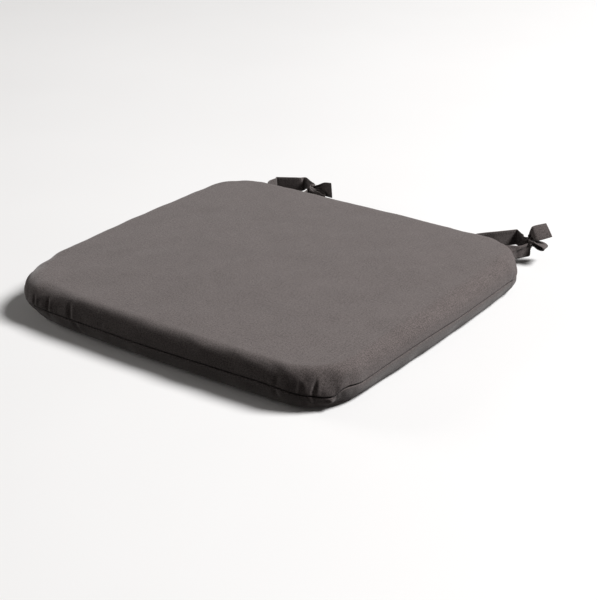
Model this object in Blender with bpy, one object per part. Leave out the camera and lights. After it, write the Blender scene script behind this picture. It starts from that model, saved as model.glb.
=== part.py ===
"""Chair seat pad: a foam slab in a two-panel canvas cover, with a zip in the rear seam and four tape ties.

Metres, +Z up. X runs to the right seen from the front edge, the front edge is at -Y and the ties are at +Y.
The origin is the middle of the underside, which rests on the seat at z = 0.
"""

import math

import bmesh
import bpy
import numpy as np
from mathutils import Matrix, Vector

# ---------------------------------------------------------------- the pad's outline, seen from above
FRONT_WIDTH = 0.400
REAR_WIDTH = 0.396
DEPTH = 0.370
FRONT_RADIUS = 0.048
REAR_RADIUS = 0.0545
FRONT_BOW = 0.0047  # how far the soft front edge bows out
SIDE_BOW = 0.0064

# ---------------------------------------------------------------- the pad's edge, in section
EDGE_TOP = 0.0415  # height where the top roundover ends
CROWN = 0.0022  # extra height in the middle
SEAM_Z = 0.019
TOP_ROUND = 0.0192  # width of the top roundover
TOP_POWER = 2.26
LOW_ROUND = 0.0111  # how far the underside is tucked in
LOW_POWER = 1.39

# ---------------------------------------------------------------- cloth, seam and foam
CLOTH = 0.0007
GAP = 0.0003  # clearance between pieces that touch
SEAM_HALF_GAP = 0.0005
ALLOWANCE = 0.0060  # seam allowance turned in at the seam
THREAD_INSET = 0.0034
THREAD = 0.0004

# ---------------------------------------------------------------- zip in the rear seam
ZIP_HALF = 0.0885  # half the length of the row of coils
ZIP_SLOT_HALF = 0.0040  # half the height of the slot between the folded cloth edges
ZIP_ZONE = 0.099
ZIP_FADE = 0.006
ZIP_ALLOWANCE = 0.0028
COIL_PITCH = 0.0030
COIL_NEAR = 0.00065
COIL_FAR = 0.0021
SLIDER_LENGTH = 0.0090
SLIDER_HALF = 0.0033
STOP_LENGTH = 0.0022
TAB_LENGTH = 0.0150
TAB_WIDTH = 0.0046

# ---------------------------------------------------------------- ties
TIE_WIDTH = 0.018
TIE_THICK = 0.0012
TIE_INNER_X = 0.118  # where the inner tie leaves the rear seam
TIE_OUTER_X = 0.155  # where the outer tie leaves the rounded corner
TIE_ROOT_INSET = 0.0024
TIE_SEAM_HALF_GAP = 0.0010

# the upright that each pair of ties goes round: its four corners, right-hand side
POST_FRONT_OUT = (0.1505, 0.1927)
POST_TURN = math.radians(33.5)
POST_DEPTH = 0.0359
POST_WIDTH = 0.0298

REAR = DEPTH / 2


# ---------------------------------------------------------------- scene and materials
for old in list(bpy.data.objects):
    bpy.data.objects.remove(old, do_unlink=True)


def material(name, colour, roughness, metallic=0.0):
    made = bpy.data.materials.new(name)
    made.use_nodes = True
    shader = made.node_tree.nodes["Principled BSDF"]
    shader.inputs["Base Color"].default_value = (*colour, 1.0)
    shader.inputs["Roughness"].default_value = roughness
    shader.inputs["Metallic"].default_value = metallic
    return made


CANVAS_COLOUR = (0.165, 0.145, 0.135)
FOAM_COLOUR = (0.80, 0.76, 0.62)


def add(name, mesh, colour, roughness, metallic=0.0, at=(0, 0, 0)):
    """A named object whose origin is at the point given, with its mesh left where it is."""
    mesh.transform(Matrix.Translation(-Vector(at)))
    made = bpy.data.objects.new(name, mesh)
    made.location = at
    bpy.context.scene.collection.objects.link(made)
    mesh.materials.append(material(name + "_material", colour, roughness, metallic))
    return made


def mesh_of(name, points, faces):
    """A closed mesh with its faces turned outwards."""
    mesh = bpy.data.meshes.new(name)
    mesh.from_pydata([tuple(map(float, p)) for p in points], [], [tuple(f) for f in faces])
    work = bmesh.new()
    work.from_mesh(mesh)
    bmesh.ops.remove_doubles(work, verts=work.verts, dist=1e-7)
    bmesh.ops.recalc_face_normals(work, faces=work.faces)
    if work.calc_volume(signed=True) < 0:
        bmesh.ops.reverse_faces(work, faces=work.faces)
    work.to_mesh(mesh)
    work.free()
    return mesh


# ---------------------------------------------------------------- outline
def corner_arcs():
    """The rounded outline before its sides bow, as a dense line, anticlockwise from above."""
    corners = [
        np.array((-FRONT_WIDTH / 2, -DEPTH / 2)),
        np.array((FRONT_WIDTH / 2, -DEPTH / 2)),
        np.array((REAR_WIDTH / 2, DEPTH / 2)),
        np.array((-REAR_WIDTH / 2, DEPTH / 2)),
    ]
    radii = [FRONT_RADIUS, FRONT_RADIUS, REAR_RADIUS, REAR_RADIUS]
    line = []
    for i in range(4):
        before, here, after = corners[i - 1], corners[i], corners[(i + 1) % 4]
        u = (before - here) / np.linalg.norm(before - here)
        v = (after - here) / np.linalg.norm(after - here)
        angle = math.acos(float(np.clip(u @ v, -1, 1)))
        reach = radii[i] / math.tan(angle / 2)
        centre = here + (u + v) / np.linalg.norm(u + v) * radii[i] / math.sin(angle / 2)
        first = here + u * reach - centre
        last = here + v * reach - centre
        a0 = math.atan2(first[1], first[0])
        a1 = math.atan2(last[1], last[0])
        if a1 < a0:
            a1 += 2 * math.pi
        for a in np.linspace(a0, a1, 40):
            line.append(centre + radii[i] * np.array((math.cos(a), math.sin(a))))
        # the straight side that follows
        start = here + v * reach
        following = corners[(i + 1) % 4]
        w = (corners[(i + 2) % 4] - following) / np.linalg.norm(corners[(i + 2) % 4] - following)
        turn = math.acos(float(np.clip((-v) @ w, -1, 1)))
        end = following - v * radii[(i + 1) % 4] / math.tan(turn / 2)
        for t in np.linspace(0, 1, 60)[1:-1]:
            line.append(start + (end - start) * t)
    return np.array(line)


def bowed(line):
    x, y = line[:, 0].copy(), line[:, 1].copy()
    half = FRONT_WIDTH / 2 + (REAR_WIDTH - FRONT_WIDTH) / 2 * (y + DEPTH / 2) / DEPTH
    along_x = np.clip(1 - (x / half) ** 2, 0, 1)
    along_y = np.clip(1 - (y / (DEPTH / 2)) ** 2, 0, 1)
    front = np.clip(-y / (DEPTH / 2), 0, 1) ** 4
    side = np.clip(np.abs(x) / half, 0, 1) ** 4
    return np.stack([x + np.sign(x) * SIDE_BOW * along_y * side, y - FRONT_BOW * along_x * front], 1)


def outline():
    """Stations round the seam: points, outward normals. They are closer together by the ties and the zip's ends."""
    line = bowed(corner_arcs())
    ring = np.concatenate([line, line[:1]])
    length = np.concatenate([[0], np.cumsum(np.linalg.norm(np.diff(ring, axis=0), axis=1))])
    fine = np.linspace(0, length[-1], 4000, endpoint=False)
    points = np.stack([np.interp(fine, length, ring[:, k]) for k in (0, 1)], 1)
    ahead = np.roll(points, -6, 0) - np.roll(points, 6, 0)
    ahead /= np.linalg.norm(ahead, axis=1)[:, None]
    normals = np.stack([ahead[:, 1], -ahead[:, 0]], 1)
    marks = [0.0]
    for k in range(1, len(fine)):
        x, y = points[k]
        corner = abs(x) > 0.135 and abs(y) > 0.120
        near = y > 0.12 and (
            abs(abs(x) - TIE_INNER_X) < 0.014
            or abs(abs(x) - TIE_OUTER_X) < 0.014
            or abs(abs(x) - ZIP_ZONE - ZIP_FADE / 2) < 0.008
        )
        step = 0.0046 if near else 0.0110 if corner else 0.0240
        if fine[k] - marks[-1] >= step and length[-1] - fine[k] > 0.5 * step:
            marks.append(fine[k])
    pick = np.searchsorted(fine, marks)
    return points[pick], normals[pick]


RING, NORMAL = outline()
COUNT = len(RING)


def at_outline(x, rear=True):
    """The point of the outline and its normal at this X, on the rear or the front edge."""
    line = bowed(corner_arcs())
    ahead = np.roll(line, -1, 0) - np.roll(line, 1, 0)
    ahead /= np.linalg.norm(ahead, axis=1)[:, None]
    normal = np.stack([ahead[:, 1], -ahead[:, 0]], 1)
    wanted = line[:, 1] > 0.08 if rear else line[:, 1] < -0.08
    k = int(np.argmin(np.where(wanted, np.abs(line[:, 0] - x), 9)))
    return line[k], normal[k]


def smooth(value, low, high):
    t = np.clip((value - low) / (high - low), 0, 1)
    return t * t * (3 - 2 * t)


REARWARD = (RING[:, 1] > 0.12).astype(float)
ZIP_SHARE = REARWARD * (1 - smooth(np.abs(RING[:, 0]), ZIP_ZONE, ZIP_ZONE + ZIP_FADE))
FOAM_SHARE = REARWARD * (
    1 - smooth(np.abs(RING[:, 0]), ZIP_ZONE + ZIP_FADE, ZIP_ZONE + 2 * ZIP_FADE)
)
TIE_SHARE = np.zeros(COUNT)
for tie_x in (TIE_INNER_X, TIE_OUTER_X):
    for side in (-1, 1):
        root, _ = at_outline(side * tie_x)
        far = np.linalg.norm(RING - root, axis=1)
        TIE_SHARE = np.maximum(TIE_SHARE, 1 - smooth(far, 0.0100, 0.0150))
HALF_GAP = SEAM_HALF_GAP + (TIE_SEAM_HALF_GAP - SEAM_HALF_GAP) * TIE_SHARE
HALF_GAP = np.maximum(HALF_GAP, SEAM_HALF_GAP + (ZIP_SLOT_HALF - SEAM_HALF_GAP) * ZIP_SHARE)
FLANGE = ALLOWANCE + (ZIP_ALLOWANCE - ALLOWANCE) * ZIP_SHARE


def round_inset(share, width, power):
    """How far in the skin is at this share of the height from the seam to the flat."""
    return width * (1 - (1 - np.clip(share, 0, 1) ** power) ** (1 / power))


def section(share, width, height, power, sign, offset):
    """A point of the skin's section, moved inwards by the offset along its own normal: (inset, height from the seam)."""
    share = np.asarray(share, float)
    step = 1e-3
    a = np.clip(share - step, 0, 1)
    b = np.clip(share + step, 0, 1)
    d_in = round_inset(b, width, power) - round_inset(a, width, power)
    d_up = (b - a) * height
    size = np.sqrt(d_in**2 + d_up**2)
    n_in, n_up = d_up / size, -d_in / size
    return (
        round_inset(share, width, power) + n_in * offset,
        sign * (share * height + n_up * offset),
    )


def ring_points(inset, height):
    inset = np.broadcast_to(inset, COUNT)
    height = np.broadcast_to(height, COUNT)
    return np.column_stack([RING - NORMAL * inset[:, None], height])


def lofted(name, rings, first_cap, last_cap):
    """Rings joined one to the next, each end closed by a fan to a middle point."""
    points = np.concatenate([*rings, [first_cap], [last_cap]])
    faces = []
    for r in range(len(rings) - 1):
        for k in range(COUNT):
            n = (k + 1) % COUNT
            faces.append((r * COUNT + k, r * COUNT + n, (r + 1) * COUNT + n, (r + 1) * COUNT + k))
    first, last = len(points) - 2, len(points) - 1
    for k in range(COUNT):
        n = (k + 1) % COUNT
        faces.append((first, n, k))
        faces.append((last, (len(rings) - 1) * COUNT + k, (len(rings) - 1) * COUNT + n))
    return mesh_of(name, points, faces)


def crown_rings(inset, height, rise, shares):
    """Rings between the roundover and the middle, over the crown."""
    edge = RING - NORMAL * inset
    return [
        np.column_stack([edge * s, np.full(COUNT, height + rise * (1 - s * s))]) for s in shares
    ]


TOP_HEIGHT = EDGE_TOP - SEAM_Z
TOP_SHARES = (0.30, 0.52, 0.70, 0.84, 0.94)
LOW_SHARES = (0.42, 0.66, 0.86)


def top_panel():
    outer, inner = [], []
    outer += crown_rings(TOP_ROUND, EDGE_TOP, CROWN, (0.35, 0.75, 1.0))
    for share in reversed(TOP_SHARES):
        inset, up = section(share, TOP_ROUND, TOP_HEIGHT, TOP_POWER, 1, 0)
        outer.append(ring_points(inset, SEAM_Z + up))
    low = HALF_GAP / TOP_HEIGHT
    inset, up = section(low, TOP_ROUND, TOP_HEIGHT, TOP_POWER, 1, 0)
    outer.append(ring_points(inset, SEAM_Z + HALF_GAP))
    outer.append(ring_points(FLANGE, SEAM_Z + HALF_GAP))
    outer.append(ring_points(FLANGE, SEAM_Z + HALF_GAP + CLOTH))
    outer.append(ring_points(inset + CLOTH, SEAM_Z + HALF_GAP + CLOTH))
    for share in TOP_SHARES:
        inset, up = section(share, TOP_ROUND, TOP_HEIGHT, TOP_POWER, 1, CLOTH)
        inner.append(ring_points(inset, SEAM_Z + up))
    inner += crown_rings(TOP_ROUND, EDGE_TOP - CLOTH, CROWN, (1.0, 0.75, 0.35))
    return lofted(
        "top_cover_panel",
        outer + inner,
        (0, 0, EDGE_TOP + CROWN),
        (0, 0, EDGE_TOP + CROWN - CLOTH),
    )


def bottom_panel():
    rings = []
    flat = RING - NORMAL * LOW_ROUND
    rings.append(np.column_stack([flat * 0.5, np.zeros(COUNT)]))
    rings.append(np.column_stack([flat, np.zeros(COUNT)]))
    for share in reversed(LOW_SHARES):
        inset, up = section(share, LOW_ROUND, SEAM_Z, LOW_POWER, -1, 0)
        rings.append(ring_points(inset, SEAM_Z + up))
    low = HALF_GAP / SEAM_Z
    inset, up = section(low, LOW_ROUND, SEAM_Z, LOW_POWER, -1, 0)
    rings.append(ring_points(inset, SEAM_Z - HALF_GAP))
    rings.append(ring_points(FLANGE, SEAM_Z - HALF_GAP))
    rings.append(ring_points(FLANGE, SEAM_Z - HALF_GAP - CLOTH))
    rings.append(ring_points(inset + CLOTH, SEAM_Z - HALF_GAP - CLOTH))
    for share in LOW_SHARES:
        inset, up = section(share, LOW_ROUND, SEAM_Z, LOW_POWER, -1, CLOTH)
        rings.append(ring_points(inset, SEAM_Z + up))
    inside = RING - NORMAL * (LOW_ROUND + 0.0006)
    rings.append(np.column_stack([inside, np.full(COUNT, CLOTH)]))
    rings.append(np.column_stack([inside * 0.5, np.full(COUNT, CLOTH)]))
    return lofted("bottom_cover_panel", rings, (0, 0, 0), (0, 0, CLOTH))


def foam_core():
    skin = CLOTH + GAP
    deep = 0.0058  # how far the foam keeps clear of the zip
    rings = crown_rings(TOP_ROUND, EDGE_TOP - skin, CROWN, (0.4, 1.0))
    above = []
    for share in (0.92, 0.80, 0.66, 0.56):
        inset, up = section(share, TOP_ROUND, TOP_HEIGHT, TOP_POWER, 1, skin)
        above.append((float(inset), SEAM_Z + float(up)))
    for inset, z in above:
        rings.append(ring_points(inset, z))
    notch = ALLOWANCE + 0.0005
    half = 0.0022
    for share in (0.52, 0.12):
        inset, up = section(share, TOP_ROUND, TOP_HEIGHT, TOP_POWER, 1, skin)
        rings.append(ring_points(np.maximum(inset, inset + (deep - inset) * FOAM_SHARE), SEAM_Z + float(up)))
    rings.append(ring_points(notch, SEAM_Z + half))
    rings.append(ring_points(notch, SEAM_Z - half))
    for share in (0.13, 0.58):
        inset, up = section(share, LOW_ROUND, SEAM_Z, LOW_POWER, -1, skin + 0.0004)
        rings.append(ring_points(np.maximum(inset, inset + (deep + 0.0012 - inset) * FOAM_SHARE), SEAM_Z + float(up)))
    for share in (0.64, 0.84):
        inset, up = section(share, LOW_ROUND, SEAM_Z, LOW_POWER, -1, skin + 0.0004)
        rings.append(ring_points(inset, SEAM_Z + float(up)))
    flat = RING - NORMAL * (LOW_ROUND + 0.0016)
    rings.append(np.column_stack([flat, np.full(COUNT, skin)]))
    return lofted("foam_core", rings, (0, 0, EDGE_TOP + CROWN - skin), (0, 0, skin))


# ---------------------------------------------------------------- sweeps and extrusions
def strip(name, centres, widths_dir, widths, thick):
    """A flat tape: one four-cornered section at each station, closed at both ends."""
    centres = np.asarray(centres, float)
    count = len(centres)
    widths = np.broadcast_to(widths, count)
    thick = np.broadcast_to(thick, count)
    ahead = np.gradient(centres, axis=0)
    ahead /= np.linalg.norm(ahead, axis=1)[:, None]
    across = np.asarray(widths_dir, float)
    across = across - (across * ahead).sum(1)[:, None] * ahead
    across /= np.linalg.norm(across, axis=1)[:, None]
    normal = np.cross(ahead, across)
    points, faces = [], []
    for k in range(count):
        w = across[k] * widths[k] / 2
        n = normal[k] * thick[k] / 2
        points += [centres[k] + w + n, centres[k] - w + n, centres[k] - w - n, centres[k] + w - n]
    for k in range(count - 1):
        a, b = 4 * k, 4 * k + 4
        for i in range(4):
            j = (i + 1) % 4
            faces.append((a + i, a + j, b + j, b + i))
    faces.append((0, 1, 2, 3))
    end = 4 * (count - 1)
    faces.append((end + 3, end + 2, end + 1, end))
    return mesh_of(name, points, faces)


def spline(points, count):
    """A smooth line through the points (Catmull-Rom), resampled evenly."""
    points = [np.asarray(p, float) for p in points]
    padded = [2 * points[0] - points[1], *points, 2 * points[-1] - points[-2]]
    line = []
    for i in range(1, len(padded) - 2):
        p0, p1, p2, p3 = padded[i - 1 : i + 3]
        for t in np.linspace(0, 1, 16, endpoint=False):
            line.append(
                0.5
                * (
                    2 * p1
                    + (p2 - p0) * t
                    + (2 * p0 - 5 * p1 + 4 * p2 - p3) * t * t
                    + (3 * p1 - p0 - 3 * p2 + p3) * t**3
                )
            )
    line.append(points[-1])
    line = np.array(line)
    length = np.concatenate([[0], np.cumsum(np.linalg.norm(np.diff(line, axis=0), axis=1))])
    s = np.linspace(0, length[-1], count)
    return np.stack([np.interp(s, length, line[:, k]) for k in range(line.shape[1])], 1)


def prism(name, corners, axis, low, high):
    """A flat polygon pushed along one axis. Its corners are given in the other two axes, in X, Y, Z order."""
    points, faces = [], []
    for value in (low, high):
        for p, q in corners:
            point = [p, q]
            point.insert(axis, value)
            points.append(point)
    count = len(corners)
    for k in range(count):
        n = (k + 1) % count
        faces.append((k, n, count + n, count + k))
    faces.append(tuple(reversed(range(count))))
    faces.append(tuple(range(count, 2 * count)))
    return mesh_of(name, points, faces)


def box(name, low, high):
    (x0, y0, z0), (x1, y1, z1) = low, high
    return prism(name, [(x0, y0), (x1, y0), (x1, y1), (x0, y1)], 2, z0, z1)


def helper(name, mesh):
    made = bpy.data.objects.new(name, mesh)
    bpy.context.scene.collection.objects.link(made)
    made.hide_render = True
    made.hide_viewport = True
    return made


def combine(target, other, operation, name):
    modifier = target.modifiers.new(name, "BOOLEAN")
    modifier.operation = operation
    modifier.solver = "EXACT"
    modifier.object = other


# ---------------------------------------------------------------- the pad
add("top_cover_panel", top_panel(), CANVAS_COLOUR, 0.95)
add("bottom_cover_panel", bottom_panel(), CANVAS_COLOUR, 0.95)
add("foam_core", foam_core(), FOAM_COLOUR, 0.9)


def seam_thread():
    """The closing row of stitches, from one end of the zip round the front to the other end."""
    open_part = np.where(ZIP_SHARE < 0.01)[0]
    start = [k for k in open_part if ZIP_SHARE[k - 1] >= 0.01][0]
    order = [(start + i) % COUNT for i in range(len(open_part))]
    points = RING[order] - NORMAL[order] * (THREAD_INSET + THREAD / 2)
    centres = np.column_stack([points, np.full(len(order), SEAM_Z)])
    across = np.column_stack([NORMAL[order], np.zeros(len(order))])
    return strip("seam_thread", centres, across, THREAD, THREAD)


add("seam_thread", seam_thread(), (0.10, 0.09, 0.085), 0.8)

# ---------------------------------------------------------------- the zip
COIL_BACK, COIL_FACE = REAR - 0.0030, REAR - 0.0015
TAPE_BACK, TAPE_FACE = REAR - 0.0039, REAR - 0.0033
TAPE_HALF = ZIP_ZONE - 0.0015


def zip_tape(name, up):
    """A woven tape beside one row of coils, bent to follow the cover's edge."""
    if up > 0:
        line = [(TAPE_FACE, 0.00065), (TAPE_FACE, 0.0098), (TAPE_BACK, 0.0098), (TAPE_BACK, 0.00065)]
    else:
        line = [
            (TAPE_FACE, 0.00065),
            (TAPE_FACE, 0.0068),
            (TAPE_FACE - 0.0020, 0.0094),
            (TAPE_BACK - 0.0020, 0.0094),
            (TAPE_BACK, 0.0068),
            (TAPE_BACK, 0.00065),
        ]
    return prism(name, [(y, SEAM_Z + up * z) for y, z in line], 0, -TAPE_HALF, TAPE_HALF)


def zip_coil(name, up):
    """One row of coils, as a comb that faces the other row."""
    pitch = COIL_PITCH
    count = int(2 * ZIP_HALF / pitch)
    shift = 0.0 if up > 0 else pitch / 2
    line = [(-ZIP_HALF, COIL_FAR), (-ZIP_HALF, COIL_NEAR + 0.0005)]
    for k in range(count):
        x = -ZIP_HALF + shift + pitch * k
        if x + 0.7 * pitch > ZIP_HALF:
            break
        line += [
            (x + 0.15 * pitch, COIL_NEAR + 0.0005),
            (x + 0.25 * pitch, COIL_NEAR),
            (x + 0.55 * pitch, COIL_NEAR),
            (x + 0.65 * pitch, COIL_NEAR + 0.0005),
        ]
    line += [(ZIP_HALF, COIL_NEAR + 0.0005), (ZIP_HALF, COIL_FAR)]
    return prism(name, [(x, SEAM_Z + up * z) for x, z in line], 1, COIL_BACK, COIL_FACE)


ZIP_GREY = (0.10, 0.095, 0.09)
STEEL = (0.55, 0.54, 0.52)
add("zip_tape_upper", zip_tape("zip_tape_upper", 1), ZIP_GREY, 0.9)
add("zip_tape_lower", zip_tape("zip_tape_lower", -1), ZIP_GREY, 0.9)
add("zip_coil_upper", zip_coil("zip_coil_upper", 1), ZIP_GREY, 0.45)
add("zip_coil_lower", zip_coil("zip_coil_lower", -1), ZIP_GREY, 0.45)

# the slider at the closed end, with its plates, edge flanges, the web between the tapes and the bail
SLIDER_AT = -ZIP_HALF + STOP_LENGTH + 0.0006 + SLIDER_LENGTH / 2
PLATE_BACK, PLATE_FACE = COIL_FACE + GAP, COIL_FACE + GAP + 0.0009
INNER_BACK, INNER_FACE = TAPE_BACK - GAP - 0.0009, TAPE_BACK - GAP
FLANGE_REACH = TAPE_FACE + GAP
WEB = COIL_NEAR - GAP


def slider_section():
    """Half by half: outer plate, flange hooked over the coils, web, inner plate."""
    half = [
        (PLATE_FACE, SLIDER_HALF - 0.0004),
        (PLATE_FACE - 0.0004, SLIDER_HALF),
        (FLANGE_REACH, SLIDER_HALF),
        (FLANGE_REACH, COIL_FAR + GAP),
        (PLATE_BACK, COIL_FAR + GAP),
        (PLATE_BACK, WEB),
        (INNER_FACE, WEB),
        (INNER_FACE, SLIDER_HALF - 0.0002),
        (INNER_BACK, SLIDER_HALF - 0.0002),
    ]
    return half + [(y, -z) for y, z in reversed(half)]


slider = add(
    "zip_slider",
    prism(
        "zip_slider",
        [(y, SEAM_Z + z) for y, z in slider_section()],
        0,
        SLIDER_AT - SLIDER_LENGTH / 2,
        SLIDER_AT + SLIDER_LENGTH / 2,
    ),
    STEEL,
    0.35,
    1.0,
    at=(SLIDER_AT, REAR, SEAM_Z),
)
PIN_Y = PLATE_FACE + 0.0008
arch = [
    (-0.0024, -0.0004),
    (-0.0024, 0.0019),
    (-0.0019, 0.0024),
    (0.0019, 0.0024),
    (0.0024, 0.0019),
    (0.0024, -0.0004),
    (0.0015, -0.0004),
    (0.0015, 0.0016),
    (-0.0015, 0.0016),
    (-0.0015, -0.0004),
]
bail = helper(
    "cutter_bail",
    prism(
        "cutter_bail",
        [(SLIDER_AT + x, PLATE_FACE + y) for x, y in arch],
        2,
        SEAM_Z - 0.0006,
        SEAM_Z + 0.0006,
    ),
)
combine(slider, bail, "UNION", "bail")

# the pull tab hangs on the bail by its crossbar
tab_line = [
    (-0.00045, -TAB_WIDTH / 2 + 0.0006),
    (0.0002, -TAB_WIDTH / 2),
    (TAB_LENGTH - 0.0012, -TAB_WIDTH / 2),
    (TAB_LENGTH, -TAB_WIDTH / 2 + 0.0012),
    (TAB_LENGTH, TAB_WIDTH / 2 - 0.0012),
    (TAB_LENGTH - 0.0012, TAB_WIDTH / 2),
    (0.0002, TAB_WIDTH / 2),
    (-0.00045, TAB_WIDTH / 2 - 0.0006),
]
tab = add(
    "zip_pull_tab",
    prism(
        "zip_pull_tab",
        [(SLIDER_AT + x, SEAM_Z + z) for x, z in tab_line],
        1,
        PIN_Y - 0.0005,
        PIN_Y + 0.0005,
    ),
    STEEL,
    0.35,
    1.0,
    at=(SLIDER_AT, PIN_Y, SEAM_Z),
)
hole = helper(
    "cutter_tab_hole",
    box(
        "cutter_tab_hole",
        (SLIDER_AT + 0.00045, PIN_Y - 0.002, SEAM_Z - 0.0012),
        (SLIDER_AT + 0.0035, PIN_Y + 0.002, SEAM_Z + 0.0012),
    ),
)
combine(tab, hole, "DIFFERENCE", "hole")

# stops beyond the ends of the coils
for name, low, high in (("upper", COIL_NEAR, COIL_FAR + 0.0002), ("lower", -COIL_FAR - 0.0002, -COIL_NEAR)):
    add(
        "zip_top_stop_" + name,
        box(
            "zip_top_stop_" + name,
            (-ZIP_HALF - STOP_LENGTH - GAP, COIL_BACK, SEAM_Z + low),
            (-ZIP_HALF - GAP, COIL_FACE, SEAM_Z + high),
        ),
        STEEL,
        0.4,
        1.0,
    )
add(
    "zip_bottom_stop",
    box(
        "zip_bottom_stop",
        (ZIP_HALF + GAP, COIL_BACK, SEAM_Z - COIL_FAR - 0.0002),
        (ZIP_HALF + GAP + STOP_LENGTH, COIL_FACE, SEAM_Z + COIL_FAR + 0.0002),
    ),
    STEEL,
    0.4,
    1.0,
)

# ---------------------------------------------------------------- the ties
UP = np.array((0.0, 0.0, 1.0))


def post(side):
    """The upright's four corners and its two directions, for the right (1) or left (-1) side."""
    along = np.array((side * math.sin(POST_TURN), math.cos(POST_TURN)))
    out = np.array((side * math.cos(POST_TURN), -math.sin(POST_TURN)))
    front_out = np.array((side * POST_FRONT_OUT[0], POST_FRONT_OUT[1]))
    rear_out = front_out + POST_DEPTH * along
    front_in = front_out - POST_WIDTH * out
    rear_in = rear_out - POST_WIDTH * out
    return front_out, rear_out, rear_in, front_in, along, out


def root_of(x):
    point, normal = at_outline(x)
    return point - normal * TIE_ROOT_INSET, normal


def run(name, path, heights, start_dir, twist, count):
    """A tie's run: sewn in flat, then turned on edge to go round the upright."""
    flat_path = [(*p, z) for p, z in zip(path, heights)]
    centres = spline(flat_path, count)
    length = np.concatenate([[0], np.cumsum(np.linalg.norm(np.diff(centres, axis=0), axis=1))])
    turned = smooth(length, 0.004, 0.004 + twist)[:, None]
    start = np.array((*start_dir, 0.0))
    angle = turned * math.pi / 2
    across = np.cos(angle) * start + np.sin(angle) * UP
    return strip(name, centres, across, TIE_WIDTH, TIE_THICK)


def lump(name, centre, along, out, size):
    """Half a knot: a rounded block, in the upright's directions."""
    mesh = bpy.data.meshes.new(name)
    work = bmesh.new()
    bmesh.ops.create_cube(work, size=1.0)
    a = Vector((*along, 0))
    b = Vector((*out, 0))
    if a.cross(b).z < 0:  # the block is symmetric, so turning one direction round keeps its faces outwards
        b = -b
    for vert in work.verts:
        p = vert.co.copy()
        vert.co = Vector(centre) + a * p.x * size[0] + b * p.y * size[1] + Vector(UP) * p.z * size[2]
    bmesh.ops.bevel(
        work,
        geom=list(work.edges),
        offset=min(size) * 0.28,
        segments=2,
        profile=0.6,
        affect="EDGES",
        clamp_overlap=True,
    )
    work.to_mesh(mesh)
    work.free()
    return mesh


def loop(name, start, ahead, across, length, height, narrow):
    """A bow's loop: out along a direction and back, as a teardrop, narrow at the knot."""
    ahead = np.asarray(ahead, float) / np.linalg.norm(ahead)
    across = np.asarray(across, float)
    across = across - across @ ahead * ahead
    across /= np.linalg.norm(across)
    rise = np.cross(ahead, across)
    shape = [(0.0, 0.10), (0.30, 0.62), (0.65, 1.0), (0.90, 0.80), (1.0, 0.0)]
    points = [(s, h) for s, h in shape] + [(s, -h) for s, h in reversed(shape[:-1])]
    centres = spline(
        [np.asarray(start) + ahead * s * length + rise * h * height for s, h in points], 26
    )
    far = ((centres - np.asarray(start)) @ ahead) / length
    widths = narrow + (TIE_WIDTH - narrow) * smooth(far, 0.0, 0.75)
    return strip(name, centres, np.tile(across, (len(centres), 1)), widths, TIE_THICK)


def tail(name, points, across, widths):
    centres = spline(points, 9)
    start, end = np.asarray(across[0], float), np.asarray(across[1], float)
    t = np.linspace(0, 1, len(centres))[:, None]
    w = widths[0] + (widths[1] - widths[0]) * smooth(np.linspace(0, 1, len(centres)), 0, 0.6)
    return strip(name, centres, start + (end - start) * t, w, TIE_THICK)


def tie(name, pieces):
    """One tie: its run with its half of the knot, its loop and its tail joined on."""
    made = add(name, pieces[0], CANVAS_COLOUR, 0.95)
    for k, piece in enumerate(pieces[1:]):
        other = helper("cutter_" + name + str(k), piece)
        combine(made, other, "UNION", "part" + str(k))
    return made


CLEAR = TIE_THICK / 2 + GAP

# right pair, tied at the rear outer edge of the upright
front_out, rear_out, rear_in, front_in, along, out = post(1)
KNOT = rear_out + along * 0.0071 + out * -0.0009
root, normal = root_of(TIE_OUTER_X)
tie(
    "tie_right_outer",
    [
        run(
            "run",
            [
                root,
                root + normal * 0.0030,
                root + normal * 0.0065,
                rear_out - along * 0.012 + out * (CLEAR + 0.0010),
                rear_out + out * CLEAR,
                rear_out + along * 0.005 + out * CLEAR,
            ],
            [SEAM_Z, SEAM_Z, SEAM_Z, 0.0165, 0.0155, 0.0158],
            (-normal[1], normal[0]),
            0.018,
            16,
        ),
        lump("knot", (*(KNOT + out * 0.0035), 0.0185), along, out, (0.0105, 0.0066, 0.0150)),
        loop("loop", (*(KNOT + out * 0.0030), 0.0200), (0.955, 0.02, -0.29), (-0.58, 0.78, -0.15), 0.0195, 0.0036, 0.006),
        tail(
            "tail",
            [(*(KNOT + out * 0.0030), 0.0225), (*(KNOT + along * 0.005 + out * 0.0030), 0.0290), (*(KNOT + along * 0.0165 + out * 0.003), 0.0330)],
            [(-0.10, -0.25, 0.95), (-0.08, -0.18, 0.97)],
            (0.010, TIE_WIDTH),
        ),
    ],
)
root, normal = root_of(TIE_INNER_X)
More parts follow.
